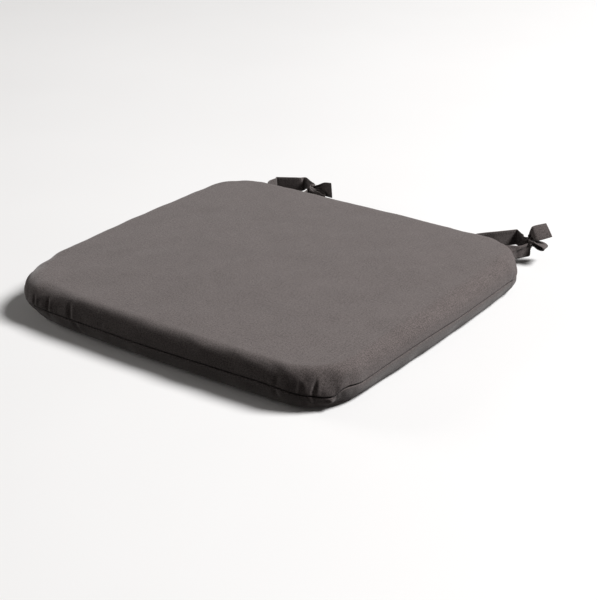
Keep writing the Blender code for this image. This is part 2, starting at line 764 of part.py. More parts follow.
tie(
    "tie_right_inner",
    [
        run(
            "run",
            [
                root,
                root + normal * 0.0030,
                root + normal * 0.0060,
                front_in - out * (CLEAR + 0.0012) - along * 0.004,
                front_in - out * CLEAR + along * 0.014,
                rear_in - out * CLEAR - along * 0.004,
                rear_in + (along - out) * CLEAR * 0.9,
                rear_in + along * CLEAR + out * 0.004,
                rear_in + along * CLEAR + out * 0.016,
                rear_out + along * (CLEAR + 0.0006) - out * 0.004,
            ],
            [SEAM_Z, SEAM_Z, SEAM_Z, 0.0190, 0.0185, 0.0175, 0.0172, 0.0170, 0.0165, 0.0165],
            (-normal[1], normal[0]),
            0.016,
            36,
        ),
        lump("knot", (*(KNOT - out * 0.0034), 0.0180), along, out, (0.0105, 0.0062, 0.0145)),
        loop("loop", (*(KNOT - out * 0.0035 + along * 0.001), 0.0165), (-0.62, 0.62, -0.42), (0.55, 0.80, 0.25), 0.0215, 0.0038, 0.006),
        tail(
            "tail",
            [(*(KNOT - out * 0.0040), 0.0150), (*(KNOT - out * 0.0110 + along * 0.003), 0.0115), (*(KNOT - out * 0.0260 + along * 0.006), 0.0100)],
            [(0.1, 0.3, 0.95), (0.05, 0.15, 1.0)],
            (0.008, TIE_WIDTH),
        ),
    ],
)

# left pair, tied beside the inner face of the upright
front_out, rear_out, rear_in, front_in, along, out = post(-1)
KNOT = np.array((-0.1150, 0.2210))
facing = np.array((0.86, -0.51))  # from the upright's rear inner edge towards the knot
sideways = np.array((0.51, 0.86))
root, normal = root_of(-TIE_OUTER_X)
tie(
    "tie_left_outer",
    [
        run(
            "run",
            [
                root,
                root + normal * 0.0030,
                root + normal * 0.0065 + out * 0.0010,
                rear_out - along * 0.021 + out * (CLEAR + 0.0080),
                rear_out - along * 0.004 + out * CLEAR,
                rear_out + (along + out) * CLEAR * 0.9,
                rear_out + along * CLEAR - out * 0.004,
                rear_in + along * CLEAR + out * 0.010,
                rear_in + along * (CLEAR + 0.0003) + out * 0.001,
                rear_in + along * 0.0002 - out * 0.0050,
                KNOT - facing * 0.0040 + sideways * 0.0030,
            ],
            [SEAM_Z, SEAM_Z, SEAM_Z, 0.0205, 0.0190, 0.0185, 0.0185, 0.0190, 0.0195, 0.0210, 0.0235],
            (normal[1], -normal[0]),
            0.018,
            40,
        ),
        lump("knot", (*(KNOT + sideways * 0.0035), 0.0240), facing, sideways, (0.0105, 0.0066, 0.0160)),
        loop("loop", (*(KNOT + sideways * 0.0035), 0.0215), (-0.10, 0.90, -0.45), (0.95, 0.20, 0.30), 0.0225, 0.0040, 0.006),
        tail(
            "tail",
            [(*(KNOT + sideways * 0.0035 + facing * 0.002), 0.0250), (*(KNOT + sideways * 0.0060 + facing * 0.014), 0.0280), (*(KNOT + sideways * 0.0100 + facing * 0.028), 0.0305)],
            [(0.05, 0.1, 0.95), (0.12, 0.05, 0.95)],
            (0.009, TIE_WIDTH),
        ),
    ],
)
root, normal = root_of(-TIE_INNER_X)
tie(
    "tie_left_inner",
    [
        run(
            "run",
            [
                root,
                root + normal * 0.0030,
                root + normal * 0.0060,
                root + normal * 0.0200 + np.array((0.001, 0)),
                KNOT - sideways * 0.0035 - facing * 0.002,
            ],
            [SEAM_Z, SEAM_Z, 0.0190, 0.0210, 0.0235],
            (normal[1], -normal[0]),
            0.014,
            12,
        ),
        lump("knot", (*(KNOT - sideways * 0.0035), 0.0240), facing, sideways, (0.0105, 0.0066, 0.0160)),
        loop("loop", (*(KNOT - sideways * 0.0035 + facing * 0.002), 0.0250), (0.79, -0.60, 0.02), (-0.25, -0.30, 0.92), 0.0215, 0.0040, 0.006),
        tail(
            "tail",
            [(*(KNOT - sideways * 0.0040), 0.0190), (*(KNOT - sideways * 0.0060 + facing * 0.006), 0.0110), (*(KNOT - sideways * 0.0075 + facing * 0.018), 0.0100)],
            [(0.2, -0.2, 0.9), (0.0, -0.1, 1.0)],
            (0.008, TIE_WIDTH * 0.9),
        ),
    ],
)
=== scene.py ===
"""Looks for the chair seat pad: canvas cover, foam, tape ties and rear zip, on a pale floor under soft studio light.

Metres, +Z up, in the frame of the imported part: the front edge is at -Y, the ties are at +Y, the underside is at z = 0.
"""

import math

import bmesh
import bpy
import numpy as np
from mathutils import Matrix, Vector
from mathutils.bvhtree import BVHTree
from mathutils.geometry import delaunay_2d_cdt


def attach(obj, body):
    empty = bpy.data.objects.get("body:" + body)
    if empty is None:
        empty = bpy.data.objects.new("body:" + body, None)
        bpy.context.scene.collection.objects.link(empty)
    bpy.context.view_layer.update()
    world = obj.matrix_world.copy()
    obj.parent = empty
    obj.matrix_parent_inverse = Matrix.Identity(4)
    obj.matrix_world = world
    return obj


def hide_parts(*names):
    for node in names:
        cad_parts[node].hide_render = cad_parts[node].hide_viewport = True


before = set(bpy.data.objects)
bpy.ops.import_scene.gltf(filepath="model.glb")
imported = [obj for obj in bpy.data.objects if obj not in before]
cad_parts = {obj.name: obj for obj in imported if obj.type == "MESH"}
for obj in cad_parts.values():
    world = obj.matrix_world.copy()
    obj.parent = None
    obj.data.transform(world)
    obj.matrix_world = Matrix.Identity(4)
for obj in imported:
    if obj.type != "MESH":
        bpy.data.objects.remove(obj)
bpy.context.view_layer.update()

# ---------------------------------------------------------------- the pad's own sizes, as in the CAD
FRONT_WIDTH, REAR_WIDTH, DEPTH = 0.400, 0.396, 0.370
FRONT_RADIUS, REAR_RADIUS = 0.048, 0.0545
FRONT_BOW, SIDE_BOW = 0.0047, 0.0064
EDGE_TOP, CROWN, SEAM_Z = 0.0415, 0.0022, 0.019
TOP_ROUND, TOP_POWER = 0.0192, 2.26
LOW_ROUND, LOW_POWER = 0.0111, 1.39
CLOTH, GAP = 0.0007, 0.0003
ALLOWANCE, ZIP_ALLOWANCE = 0.0060, 0.0028
ZIP_HALF, ZIP_SLOT_HALF, ZIP_ZONE, ZIP_FADE = 0.0885, 0.0040, 0.099, 0.006
COIL_NEAR, COIL_FAR = 0.00065, 0.0021
TIE_WIDTH, TIE_THICK = 0.018, 0.0012
TIE_INNER_X, TIE_OUTER_X, TIE_ROOT_INSET = 0.118, 0.155, 0.0024
POST_FRONT_OUT, POST_TURN = (0.1505, 0.1927), math.radians(33.5)
POST_DEPTH, POST_WIDTH = 0.0359, 0.0298
REAR = DEPTH / 2
TOP_HEIGHT = EDGE_TOP - SEAM_Z

# the seam's visible gap between the two rolled cloth edges
SEAM_HALF = 0.00085
TIE_SEAM_HALF = 0.0010


# ---------------------------------------------------------------- camera
def camera():
    azimuth, elevation, roll = (math.radians(a) for a in (37.7057, 24.6455, -1.3321))
    back = Vector((math.sin(azimuth) * math.cos(elevation), -math.cos(azimuth) * math.cos(elevation), math.sin(elevation)))
    right = Vector((math.cos(azimuth), math.sin(azimuth), 0))
    up = back.cross(right)
    right2 = right * math.cos(roll) + up * math.sin(roll)
    up2 = up * math.cos(roll) - right * math.sin(roll)
    eye = back * 1.5145 + right * 0.0238 - up * 0.005
    data = bpy.data.cameras.new("camera")
    data.sensor_width = 36
    data.lens = 1474.4182 * 36 / 600
    data.clip_start, data.clip_end = 0.05, 50
    made = bpy.data.objects.new("camera", data)
    made.matrix_world = Matrix(
        (
            (right2.x, up2.x, back.x, eye.x),
            (right2.y, up2.y, back.y, eye.y),
            (right2.z, up2.z, back.z, eye.z),
            (0, 0, 0, 1),
        )
    )
    bpy.context.scene.collection.objects.link(made)
    bpy.context.scene.camera = made


camera()


# ---------------------------------------------------------------- node helpers
class Nodes:
    """A short way to write a material's node tree."""

    def __init__(self, name):
        self.material = bpy.data.materials.new(name)
        self.material.use_nodes = True
        self.tree = self.material.node_tree
        self.shader = self.tree.nodes["Principled BSDF"]

    def add(self, kind, **values):
        made = self.tree.nodes.new(kind)
        for key, value in values.items():
            setattr(made, key, value)
        return made

    def put(self, socket, value):
        if isinstance(value, bpy.types.NodeSocket):
            self.tree.links.new(value, socket)
        else:
            socket.default_value = value

    def maths(self, operation, *values, clamp=False):
        made = self.add("ShaderNodeMath", operation=operation, use_clamp=clamp)
        for socket, value in zip(made.inputs, values):
            self.put(socket, value)
        return made.outputs[0]

    def vector(self, operation, *values):
        made = self.add("ShaderNodeVectorMath", operation=operation)
        for socket, value in zip(made.inputs, values):
            self.put(socket, value)
        return made.outputs[0]

    def noise(self, where, scale, detail=3.0, rough=0.5):
        made = self.add("ShaderNodeTexNoise")
        self.put(made.inputs["Vector"], where)
        made.inputs["Scale"].default_value = scale
        made.inputs["Detail"].default_value = detail
        made.inputs["Roughness"].default_value = rough
        return made.outputs["Fac"]

    def span(self, value, low, high, to_low, to_high):
        made = self.add("ShaderNodeMapRange")
        self.put(made.inputs[0], value)
        for socket, number in zip(made.inputs[1:5], (low, high, to_low, to_high)):
            socket.default_value = number
        return made.outputs[0]

    def mix(self, share, a, b, blend="MIX"):
        made = self.add("ShaderNodeMix", data_type="RGBA", blend_type=blend)
        self.put(made.inputs[0], share)
        self.put(made.inputs[6], a)
        self.put(made.inputs[7], b)
        return made.outputs[2]

    def bump(self, height, strength, distance, after=None):
        made = self.add("ShaderNodeBump")
        made.inputs["Strength"].default_value = strength
        made.inputs["Distance"].default_value = distance
        self.put(made.inputs["Height"], height)
        if after is not None:
            self.put(made.inputs["Normal"], after)
        return made.outputs["Normal"]

    def uv(self, name):
        made = self.add("ShaderNodeUVMap", uv_map=name)
        return made.outputs["UV"]

    def position(self):
        return self.add("ShaderNodeTexCoord").outputs["Object"]

    def set(self, **values):
        for key, value in values.items():
            self.put(self.shader.inputs[key.replace("_", " ")], value)
        return self.material


def weave(n, where, pitch):
    """Height of a plain weave, from 0 to 1, over two coordinates in metres."""
    split = n.add("ShaderNodeSeparateXYZ")
    n.put(split.inputs[0], where)
    u = n.maths("MULTIPLY", split.outputs[0], math.pi / pitch)
    v = n.maths("MULTIPLY", split.outputs[1], math.pi / pitch)
    su, sv = n.maths("SINE", u), n.maths("SINE", v)
    over = n.maths("MULTIPLY", su, sv)
    threads = n.maths("MULTIPLY", n.maths("ABSOLUTE", su), n.maths("ABSOLUTE", sv))
    return n.maths("ADD", n.maths("MULTIPLY", over, 0.28), n.maths("ADD", n.maths("MULTIPLY", threads, 0.45), 0.28))


def canvas(name, tone=1.0, pitch=0.00062):
    """Matt cotton canvas: a plain weave with painted shade in the hollows between its threads, slubs along both yarns,
    and a faint uneven dye.
    """
    n = Nodes(name)
    where = n.uv("cut")
    height = weave(n, where, pitch)
    along_u = n.noise(n.vector("MULTIPLY", where, (55.0, 950.0, 1.0)), 1.0, 2.0)
    along_v = n.noise(n.vector("MULTIPLY", where, (950.0, 55.0, 1.0)), 1.0, 2.0)
    slub = n.maths("ADD", n.maths("MULTIPLY", along_u, 0.5), n.maths("MULTIPLY", along_v, 0.5))
    fleck = n.noise(where, 560.0, 3.0, 0.7)
    grain = n.noise(where, 900.0, 1.0, 0.5)
    cloud = n.noise(where, 17.0, 4.0, 0.6)
    level = n.maths(
        "ADD",
        n.maths("ADD", n.span(slub, 0.32, 0.68, -0.26, 0.26), n.span(grain, 0.3, 0.7, -0.42, 0.42)),
        n.maths("ADD", n.span(fleck, 0.3, 0.7, -0.50, 0.50), n.span(cloud, 0.3, 0.7, -0.07, 0.07)),
    )
    # painted shade: the weave's raised threads are painted lighter and the hollows between them darker, following the
    # weave's height
    level = n.maths("ADD", n.maths("ADD", level, 0.5), n.span(height, 0.0, 1.0, -0.10, 0.10), clamp=True)
    dark = tuple(c * tone for c in (0.0700, 0.0575, 0.0550)) + (1.0,)
    light = tuple(c * tone for c in (0.1640, 0.1385, 0.1340)) + (1.0,)
    colour = n.mix(level, dark, light)
    fuzz = n.noise(where, 1900.0, 2.0)
    normal = n.bump(n.maths("ADD", height, n.maths("MULTIPLY", fuzz, 0.5)), 0.55, 0.00016)
    normal = n.bump(slub, 0.35, 0.00030, normal)
    return n.set(
        Base_Color=colour,
        Roughness=0.93,
        Normal=normal,
        Sheen_Weight=0.22,
        Sheen_Roughness=0.55,
        Specular_IOR_Level=0.22,
    )


def foam_material():
    n = Nodes("foam")
    where = n.position()
    cells = n.add("ShaderNodeTexVoronoi")
    n.put(cells.inputs["Vector"], where)
    cells.inputs["Scale"].default_value = 900.0
    shade = n.mix(n.span(n.noise(where, 40.0, 3.0), 0.3, 0.7, 0.0, 1.0), (0.74, 0.66, 0.46, 1), (0.84, 0.78, 0.60, 1))
    normal = n.bump(cells.outputs["Distance"], 0.6, 0.0006)
    return n.set(Base_Color=shade, Roughness=0.95, Normal=normal, Specular_IOR_Level=0.2)


def thread_material():
    n = Nodes("thread")
    where = n.position()
    twist = n.noise(where, 2600.0, 2.0)
    shade = n.mix(n.span(twist, 0.3, 0.7, 0.0, 1.0), (0.085, 0.075, 0.072, 1), (0.150, 0.134, 0.128, 1))
    normal = n.bump(twist, 0.5, 0.00012)
    return n.set(Base_Color=shade, Roughness=0.7, Normal=normal, Sheen_Weight=0.2)


def tape_material():
    n = Nodes("zip_tape_twill")
    where = n.position()
    split = n.add("ShaderNodeSeparateXYZ")
    n.put(split.inputs[0], where)
    slant = n.maths("ADD", split.outputs[0], n.maths("MULTIPLY", split.outputs[2], 0.8))
    ribs = n.maths("SINE", n.maths("MULTIPLY", slant, 2 * math.pi / 0.0007))
    # painted shade: the twill's ribs are painted lighter on their crests and darker in their grooves, following the
    # same sine as the bump
    shade = n.mix(n.span(ribs, -1.0, 1.0, 0.0, 1.0), (0.055, 0.049, 0.047, 1), (0.098, 0.088, 0.084, 1))
    normal = n.bump(n.maths("ADD", ribs, n.noise(where, 1500.0, 2.0)), 0.5, 0.00010)
    return n.set(Base_Color=shade, Roughness=0.85, Normal=normal, Sheen_Weight=0.15)


def coil_material():
    n = Nodes("zip_coil_nylon")
    where = n.position()
    shade = n.mix(n.span(n.noise(where, 700.0, 3.0), 0.3, 0.7, 0.0, 1.0), (0.050, 0.046, 0.044, 1), (0.082, 0.075, 0.072, 1))
    rough = n.span(n.noise(where, 1200.0, 2.0), 0.3, 0.7, 0.30, 0.46)
    return n.set(Base_Color=shade, Roughness=rough, Specular_IOR_Level=0.5)


def metal_material():
    n = Nodes("zip_nickel")
    where = n.position()
    wear = n.noise(where, 420.0, 4.0, 0.6)
    scratch = n.noise(n.vector("MULTIPLY", where, (220.0, 2600.0, 2600.0)), 1.0, 2.0)
    shade = n.mix(n.span(wear, 0.35, 0.65, 0.0, 1.0), (0.46, 0.44, 0.42, 1), (0.62, 0.60, 0.57, 1))
    rough = n.span(n.maths("ADD", wear, scratch), 0.7, 1.3, 0.24, 0.44)
    normal = n.bump(scratch, 0.15, 0.00005)
    return n.set(Base_Color=shade, Metallic=1.0, Roughness=rough, Normal=normal)


CANVAS = canvas("canvas")
TAPE_CANVAS = canvas("tie_canvas", 0.90, 0.00050)
FOAM = foam_material()
THREAD = thread_material()
ZIP_TAPE = tape_material()
COIL = coil_material()
METAL = metal_material()


# ---------------------------------------------------------------- outline
def corner_arcs():
    """The rounded outline before its sides bow, anticlockwise from above, starting at the front left corner."""
    corners = [
        np.array((-FRONT_WIDTH / 2, -DEPTH / 2)),
        np.array((FRONT_WIDTH / 2, -DEPTH / 2)),
        np.array((REAR_WIDTH / 2, DEPTH / 2)),
        np.array((-REAR_WIDTH / 2, DEPTH / 2)),
    ]
    radii = [FRONT_RADIUS, FRONT_RADIUS, REAR_RADIUS, REAR_RADIUS]
    line = []
    for i in range(4):
        before, here, after = corners[i - 1], corners[i], corners[(i + 1) % 4]
        u = (before - here) / np.linalg.norm(before - here)
        v = (after - here) / np.linalg.norm(after - here)
        angle = math.acos(float(np.clip(u @ v, -1, 1)))
        reach = radii[i] / math.tan(angle / 2)
        centre = here + (u + v) / np.linalg.norm(u + v) * radii[i] / math.sin(angle / 2)
        first, last = here + u * reach - centre, here + v * reach - centre
        a0, a1 = math.atan2(first[1], first[0]), math.atan2(last[1], last[0])
        if a1 < a0:
            a1 += 2 * math.pi
        for a in np.linspace(a0, a1, 120):
            line.append(centre + radii[i] * np.array((math.cos(a), math.sin(a))))
        start = here + v * reach
        following = corners[(i + 1) % 4]
        w = (corners[(i + 2) % 4] - following) / np.linalg.norm(corners[(i + 2) % 4] - following)
        turn = math.acos(float(np.clip((-v) @ w, -1, 1)))
        end = following - v * radii[(i + 1) % 4] / math.tan(turn / 2)
        for t in np.linspace(0, 1, 120)[1:-1]:
            line.append(start + (end - start) * t)
    return np.array(line)


def bowed(line):
    x, y = line[:, 0].copy(), line[:, 1].copy()
    half = FRONT_WIDTH / 2 + (REAR_WIDTH - FRONT_WIDTH) / 2 * (y + DEPTH / 2) / DEPTH
    along_x = np.clip(1 - (x / half) ** 2, 0, 1)
    along_y = np.clip(1 - (y / (DEPTH / 2)) ** 2, 0, 1)
    front = np.clip(-y / (DEPTH / 2), 0, 1) ** 4
    side = np.clip(np.abs(x) / half, 0, 1) ** 4
    return np.stack([x + np.sign(x) * SIDE_BOW * along_y * side, y - FRONT_BOW * along_x * front], 1)


FINE = 5600


def fine_outline():
    line = bowed(corner_arcs())
    ring = np.concatenate([line, line[:1]])
    length = np.concatenate([[0], np.cumsum(np.linalg.norm(np.diff(ring, axis=0), axis=1))])
    run = np.linspace(0, length[-1], FINE, endpoint=False)
    points = np.stack([np.interp(run, length, ring[:, k]) for k in (0, 1)], 1)
    ahead = np.roll(points, -20, 0) - np.roll(points, 20, 0)
    ahead /= np.linalg.norm(ahead, axis=1)[:, None]
    return run, length[-1], points, np.stack([ahead[:, 1], -ahead[:, 0]], 1)


RUN, AROUND, FINE_POINTS, FINE_NORMALS = fine_outline()


def smooth(value, low, high):
    t = np.clip((value - low) / (high - low), 0, 1)
    return t * t * (3 - 2 * t)


def stations():
    """Places round the outline, closer together where the cloth puckers."""
    marks, last = [0], 0.0
    for k in range(1, FINE):
        x, y = FINE_POINTS[k]
        corner = abs(x) > 0.120 and abs(y) > 0.105
        near = y > 0.15 and (abs(abs(x) - TIE_INNER_X) < 0.014 or abs(abs(x) - TIE_OUTER_X) < 0.014 or abs(abs(x) - 0.102) < 0.008)
        step = 0.0015 if corner or near else 0.0030
        if RUN[k] - last >= step and AROUND - RUN[k] > 0.6 * step:
            marks.append(k)
            last = RUN[k]
    return np.array(marks)


PICK = stations()
S = RUN[PICK]
RING, NORMAL = FINE_POINTS[PICK], FINE_NORMALS[PICK]
COUNT = len(RING)


def at_outline(x):
    """The point of the rear edge at this X, and its normal."""
    wanted = FINE_POINTS[:, 1] > 0.08
    k = int(np.argmin(np.where(wanted, np.abs(FINE_POINTS[:, 0] - x), 9)))
    return FINE_POINTS[k], FINE_NORMALS[k]


# shares round the outline: where the zip is, and where the ties come out of the seam
REARWARD = (RING[:, 1] > 0.12).astype(float)
ZIP_SHARE = REARWARD * (1 - smooth(np.abs(RING[:, 0]), ZIP_ZONE, ZIP_ZONE + ZIP_FADE))
TIE_SHARE = np.zeros(COUNT)
for tie_x in (TIE_INNER_X, TIE_OUTER_X):
    for side in (-1, 1):
        far = np.linalg.norm(RING - at_outline(side * tie_x)[0], axis=1)
        TIE_SHARE = np.maximum(TIE_SHARE, 1 - smooth(far, 0.0100, 0.0150))
HALF_GAP = SEAM_HALF + (TIE_SEAM_HALF - SEAM_HALF) * TIE_SHARE
HALF_GAP = np.maximum(HALF_GAP, SEAM_HALF + (ZIP_SLOT_HALF - SEAM_HALF) * ZIP_SHARE)
HALF_GAP = HALF_GAP + 0.00045 * np.exp(-(((S - 0.7405) / 0.0085) ** 2))
FLANGE = ALLOWANCE + (ZIP_ALLOWANCE - ALLOWANCE) * ZIP_SHARE

# the seam wanders a little up and down; (distance round the outline, height) in millimetres
SEAM_WANDER = [
    (0, 0), (40, 0.2), (70, -0.4), (90, -1.2), (125, -1.1), (164, -0.9), (208, -1.0), (250, -0.5), (289, 0.3), (329, 0.7),
    (356, 1.2), (385, 0.3), (398, -1.4), (408, -2.6), (414, -3.1), (419, -4.3), (426, -4.9), (430.5, -5.0), (433.5, -3.2), (437, -0.8), (441, 1.0), (447, 1.6),
    (455, 0.6), (464, -0.4), (480, 0.4), (506, 1.7), (526, 2.0), (545, 2.4), (570, 2.3), (590, 1.9), (613, 1.2), (640, 1.0),
    (661, 1.0), (680, 0.6), (700, 0.4), (716, 0.2), (727, -0.4), (736, -2.2), (743, -2.8), (750, -2.0), (760, -0.6), (770, 0),
    (1150, 0), (1180, 0.5), (1210, -0.4), (1260, 0.6), (1320, 0.2), (1380, 0.7), (1430, 0.1), (1456.3, 0),
]


def wander(s):
    places = np.array([p[0] for p in SEAM_WANDER]) / 1000
    heights = np.array([p[1] for p in SEAM_WANDER]) / 1000
    fine = np.interp(RUN, places, heights)
    kernel = np.hanning(11)
    kernel /= kernel.sum()
    fine = np.convolve(np.concatenate([fine[-20:], fine, fine[:20]]), kernel, "same")[20:-20]
    return np.interp(s, RUN, fine)


SEAM_LIFT = wander(S)


# ---------------------------------------------------------------- sections
def round_inset(share, width, power):
    return width * (1 - (1 - np.clip(share, 0, 1) ** power) ** (1 / power))


def link(obj):
    bpy.context.scene.collection.objects.link(obj)
    return obj


def mesh_object(name, points, faces, material, flat_map=None, smooth_shaded=True):
    mesh = bpy.data.meshes.new(name)
    mesh.from_pydata([tuple(map(float, p)) for p in points], [], [tuple(map(int, f)) for f in faces])
    if flat_map is not None:
        layer = mesh.uv_layers.new(name="cut")
        loops = np.zeros(len(mesh.loops), int)
        mesh.loops.foreach_get("vertex_index", loops)
        layer.data.foreach_set("uv", np.asarray(flat_map, float)[loops].ravel())
    mesh.materials.append(material)
    if smooth_shaded:
        mesh.shade_smooth()
    mesh.update()
    return link(bpy.data.objects.new(name, mesh))


def outwards(obj):
    work = bmesh.new()
    work.from_mesh(obj.data)
    bmesh.ops.recalc_face_normals(work, faces=work.faces)
    if work.calc_volume(signed=True) < 0:
        bmesh.ops.reverse_faces(work, faces=work.faces)
    work.to_mesh(obj.data)
    work.free()


def profile(width, height, power, count):
    """(inset, height) from the seam to the flat, evenly along the curve, with the length along the curve to each point
    and in all.
    """
    share = 1 - (1 - np.linspace(0, 1, 4000)) ** 2
    inset = round_inset(share, width, power)
    up = share * height
    length = np.concatenate([[0], np.cumsum(np.hypot(np.diff(inset), np.diff(up)))])
    even = np.linspace(0, length[-1], count)
    return np.interp(even, length, inset), np.interp(even, length, up), even, length[-1]


def inner_points(edge, spacing):
    """A grid of points inside the closed edge line, kept a little clear of it."""
    xs = np.arange(-0.22, 0.2201, spacing)
    ys = np.arange(-0.20, 0.2001, spacing * math.sqrt(3) / 2)
    grid = np.array([(x + (j % 2) * spacing / 2, y) for j, y in enumerate(ys) for x in xs])
    angle = np.arctan2(edge[:, 1], edge[:, 0])
    order = np.argsort(angle)
    a = np.concatenate([angle[order] - 2 * math.pi, angle[order], angle[order] + 2 * math.pi])
    r = np.tile(np.linalg.norm(edge[order], axis=1), 3)
    here = np.interp(np.arctan2(grid[:, 1], grid[:, 0]), a, r)
    keep = np.linalg.norm(grid, axis=1) < here - spacing * 0.55
    return grid[keep], (a, r)


def filled(edge, spacing):
    """Triangles over the inside of an edge line: extra points and faces, with the edge's points numbered first."""
    inside, (a, r) = inner_points(edge, spacing)
    points = [Vector(p) for p in edge] + [Vector(p) for p in inside]
    loop = [(k, (k + 1) % len(edge)) for k in range(len(edge))]
    out_points, _, out_faces, _, _, _ = delaunay_2d_cdt(points, loop, [], 1, 1e-7)
    if len(out_points) != len(points):
        raise ValueError("the fill moved the edge's points")
    return inside, out_faces, (a, r)


def reach_share(points, polar):
    a, r = polar
    return np.linalg.norm(points, axis=1) / np.interp(np.arctan2(points[:, 1], points[:, 0]), a, r)


# the rim is tighter along the front, round the near corner and down the left side, and softer at the front left corner
TIGHT = 1 - 0.34 * smooth(S, 0.085, 0.130) * (1 - smooth(S, 0.455, 0.540))
TIGHT = TIGHT - 0.38 * smooth(S, 1.115, 1.165) * (1 - smooth(S, 1.428, 1.456))
TIGHT = TIGHT + 0.56 * np.exp(-((((S - 0.018 + AROUND / 2) % AROUND - AROUND / 2) / 0.019) ** 2))


# ---------------------------------------------------------------- puckers
def around(s, centre):
    """Signed distance round the outline."""
    return (s - centre + AROUND / 2) % AROUND - AROUND / 2


# (distance round, half width, depth, reach up the side from the seam, lean), millimetres; a negative depth stands proud
TOP_PUCKERS = [
    (73, 1.3, 2.0, 15, 0.10), (76.5, 1.9, -0.9, 15, 0.10), (93, 1.35, 2.5, 18, 0.05), (97, 2.0, -1.0, 18, 0.05),
    (85, 3.0, -0.5, 12, 0.0), (124.5, 1.25, 2.7, 23, 0.0), (128.5, 2.0, -1.1, 21, 0.0), (119.5, 2.4, -0.4, 16, 0.0),
    (107, 2.0, 0.5, 12, 0.1), (143, 2.4, 0.35, 12, 0.0), (168, 2.0, 0.55, 11, 0.0), (172, 2.4, -0.35, 11, 0.0),
    (60, 1.9, 0.9, 13, 0.2), (48, 2.0, 0.8, 12, 0.2), (34, 2.0, 0.7, 11, 0.2), (20, 2.2, 0.5, 10, 0.1),
    (372, 2.4, -0.3, 14, 0.05), (377, 1.6, 0.8, 15, 0.08), (388, 3.2, -0.3, 14, 0.1), (399.5, 1.5, 1.5, 13, 0.22),
    (405, 2.4, -0.5, 13, 0.20), (411.6, 1.0, 2.9, 17, 0.30), (415.4, 1.8, -0.8, 16, 0.28), (424, 3.2, -0.35, 12, 0.1),
    (431.5, 1.4, 0.5, 7, 0.30), (436, 1.8, -0.4, 9, 0.2), (446, 4.5, 1.0, 16, 0.2), (458, 4.0, -0.4, 14, 0.2), (470, 3.6, 0.4, 12, 0.2),
    (716, 3.0, 0.4, 14, 0.4), (729, 2.4, 0.7, 12, 0.5), (735, 2.4, -0.6, 12, 0.4), (742, 1.9, 1.5, 13, 0.3), (748, 2.4, -0.5, 12, 0.2),
    (758, 2.1, 0.9, 12, 0.1), (772, 2.2, 0.7, 11, 0.1), (790, 2.4, 0.6, 11, 0.0),
]
LOW_PUCKERS = [
    (131.5, 1.8, 2.2, 18, 0.0), (137, 2.6, -0.8, 16, 0.0), (125.5, 2.6, -0.4, 12, 0.0), (94, 2.0, 0.9, 12, 0.1), (74, 2.0, 0.8, 12, 0.1),
    (55, 2.2, 0.7, 12, 0.1), (38, 2.2, 0.6, 12, 0.1), (178, 3.0, 0.4, 12, 0.0), (376, 2.2, 0.9, 14, 0.0), (381, 2.8, -0.4, 12, 0.0),
    (404, 2.2, 1.8, 16, 0.0), (409.6, 1.3, -1.4, 17, 0.10), (414.0, 1.5, 1.9, 15, 0.05), (421, 2.6, 0.7, 12, 0.0), (428.6, 1.7, -1.6, 15, -0.15), (433.5, 1.6, 1.2, 9, 0.0),
    (438, 2.6, 0.7, 12, 0.0), (452, 3.0, 0.4, 12, 0.0), (728, 2.4, 0.5, 10, 0.0), (738, 2.4, 0.8, 12, 0.0), (746, 2.2, -0.4, 10, 0.0),
    (757, 2.2, 0.8, 11, 0.0), (775, 2.2, 0.6, 11, 0.0),
]


def mirrored_rear(puckers):
    """The unseen rear left corner puckers like the rear right one, and its own way."""
    rows = []
    for s, half, depth, reach, lean in puckers:
        if 700 < s < 800:
            rows.append((2 * 906.2 - s + 3.0 * math.sin(s), half * 1.05, depth * 0.9, reach, -lean))
    return puckers + rows


TOP_PUCKERS = mirrored_rear(TOP_PUCKERS)
LOW_PUCKERS = mirrored_rear(LOW_PUCKERS)


def pucker_depth(puckers, s, up):
    """Inward depth of the puckers at these places, given how far up from the seam along the cloth they are."""
    depth = np.zeros(len(s))
    for centre, half, deep, reach, lean in puckers:
        offset = around(s, centre / 1000) - lean * up
        width = half / 1000 * (0.75 + 0.9 * up / (reach / 1000))
        fade = 1 - smooth(up, 0.35 * reach / 1000, reach / 1000)
        depth += deep / 1000 * np.exp(-((offset / width) ** 2)) * fade
    return depth


def ripple(x, y, seed):
    """A smooth uneven field between about -1 and 1, the same every time."""
    rng = np.random.default_rng(seed)
    total = np.zeros(np.shape(x))
    for _ in range(14):
        angle, phase = rng.uniform(0, 2 * math.pi, 2)
        waves = rng.uniform(9, 34)
        total = total + np.sin((x * math.cos(angle) + y * math.sin(angle)) * 2 * math.pi * waves / 1.0 + phase) / 14**0.5
    return total


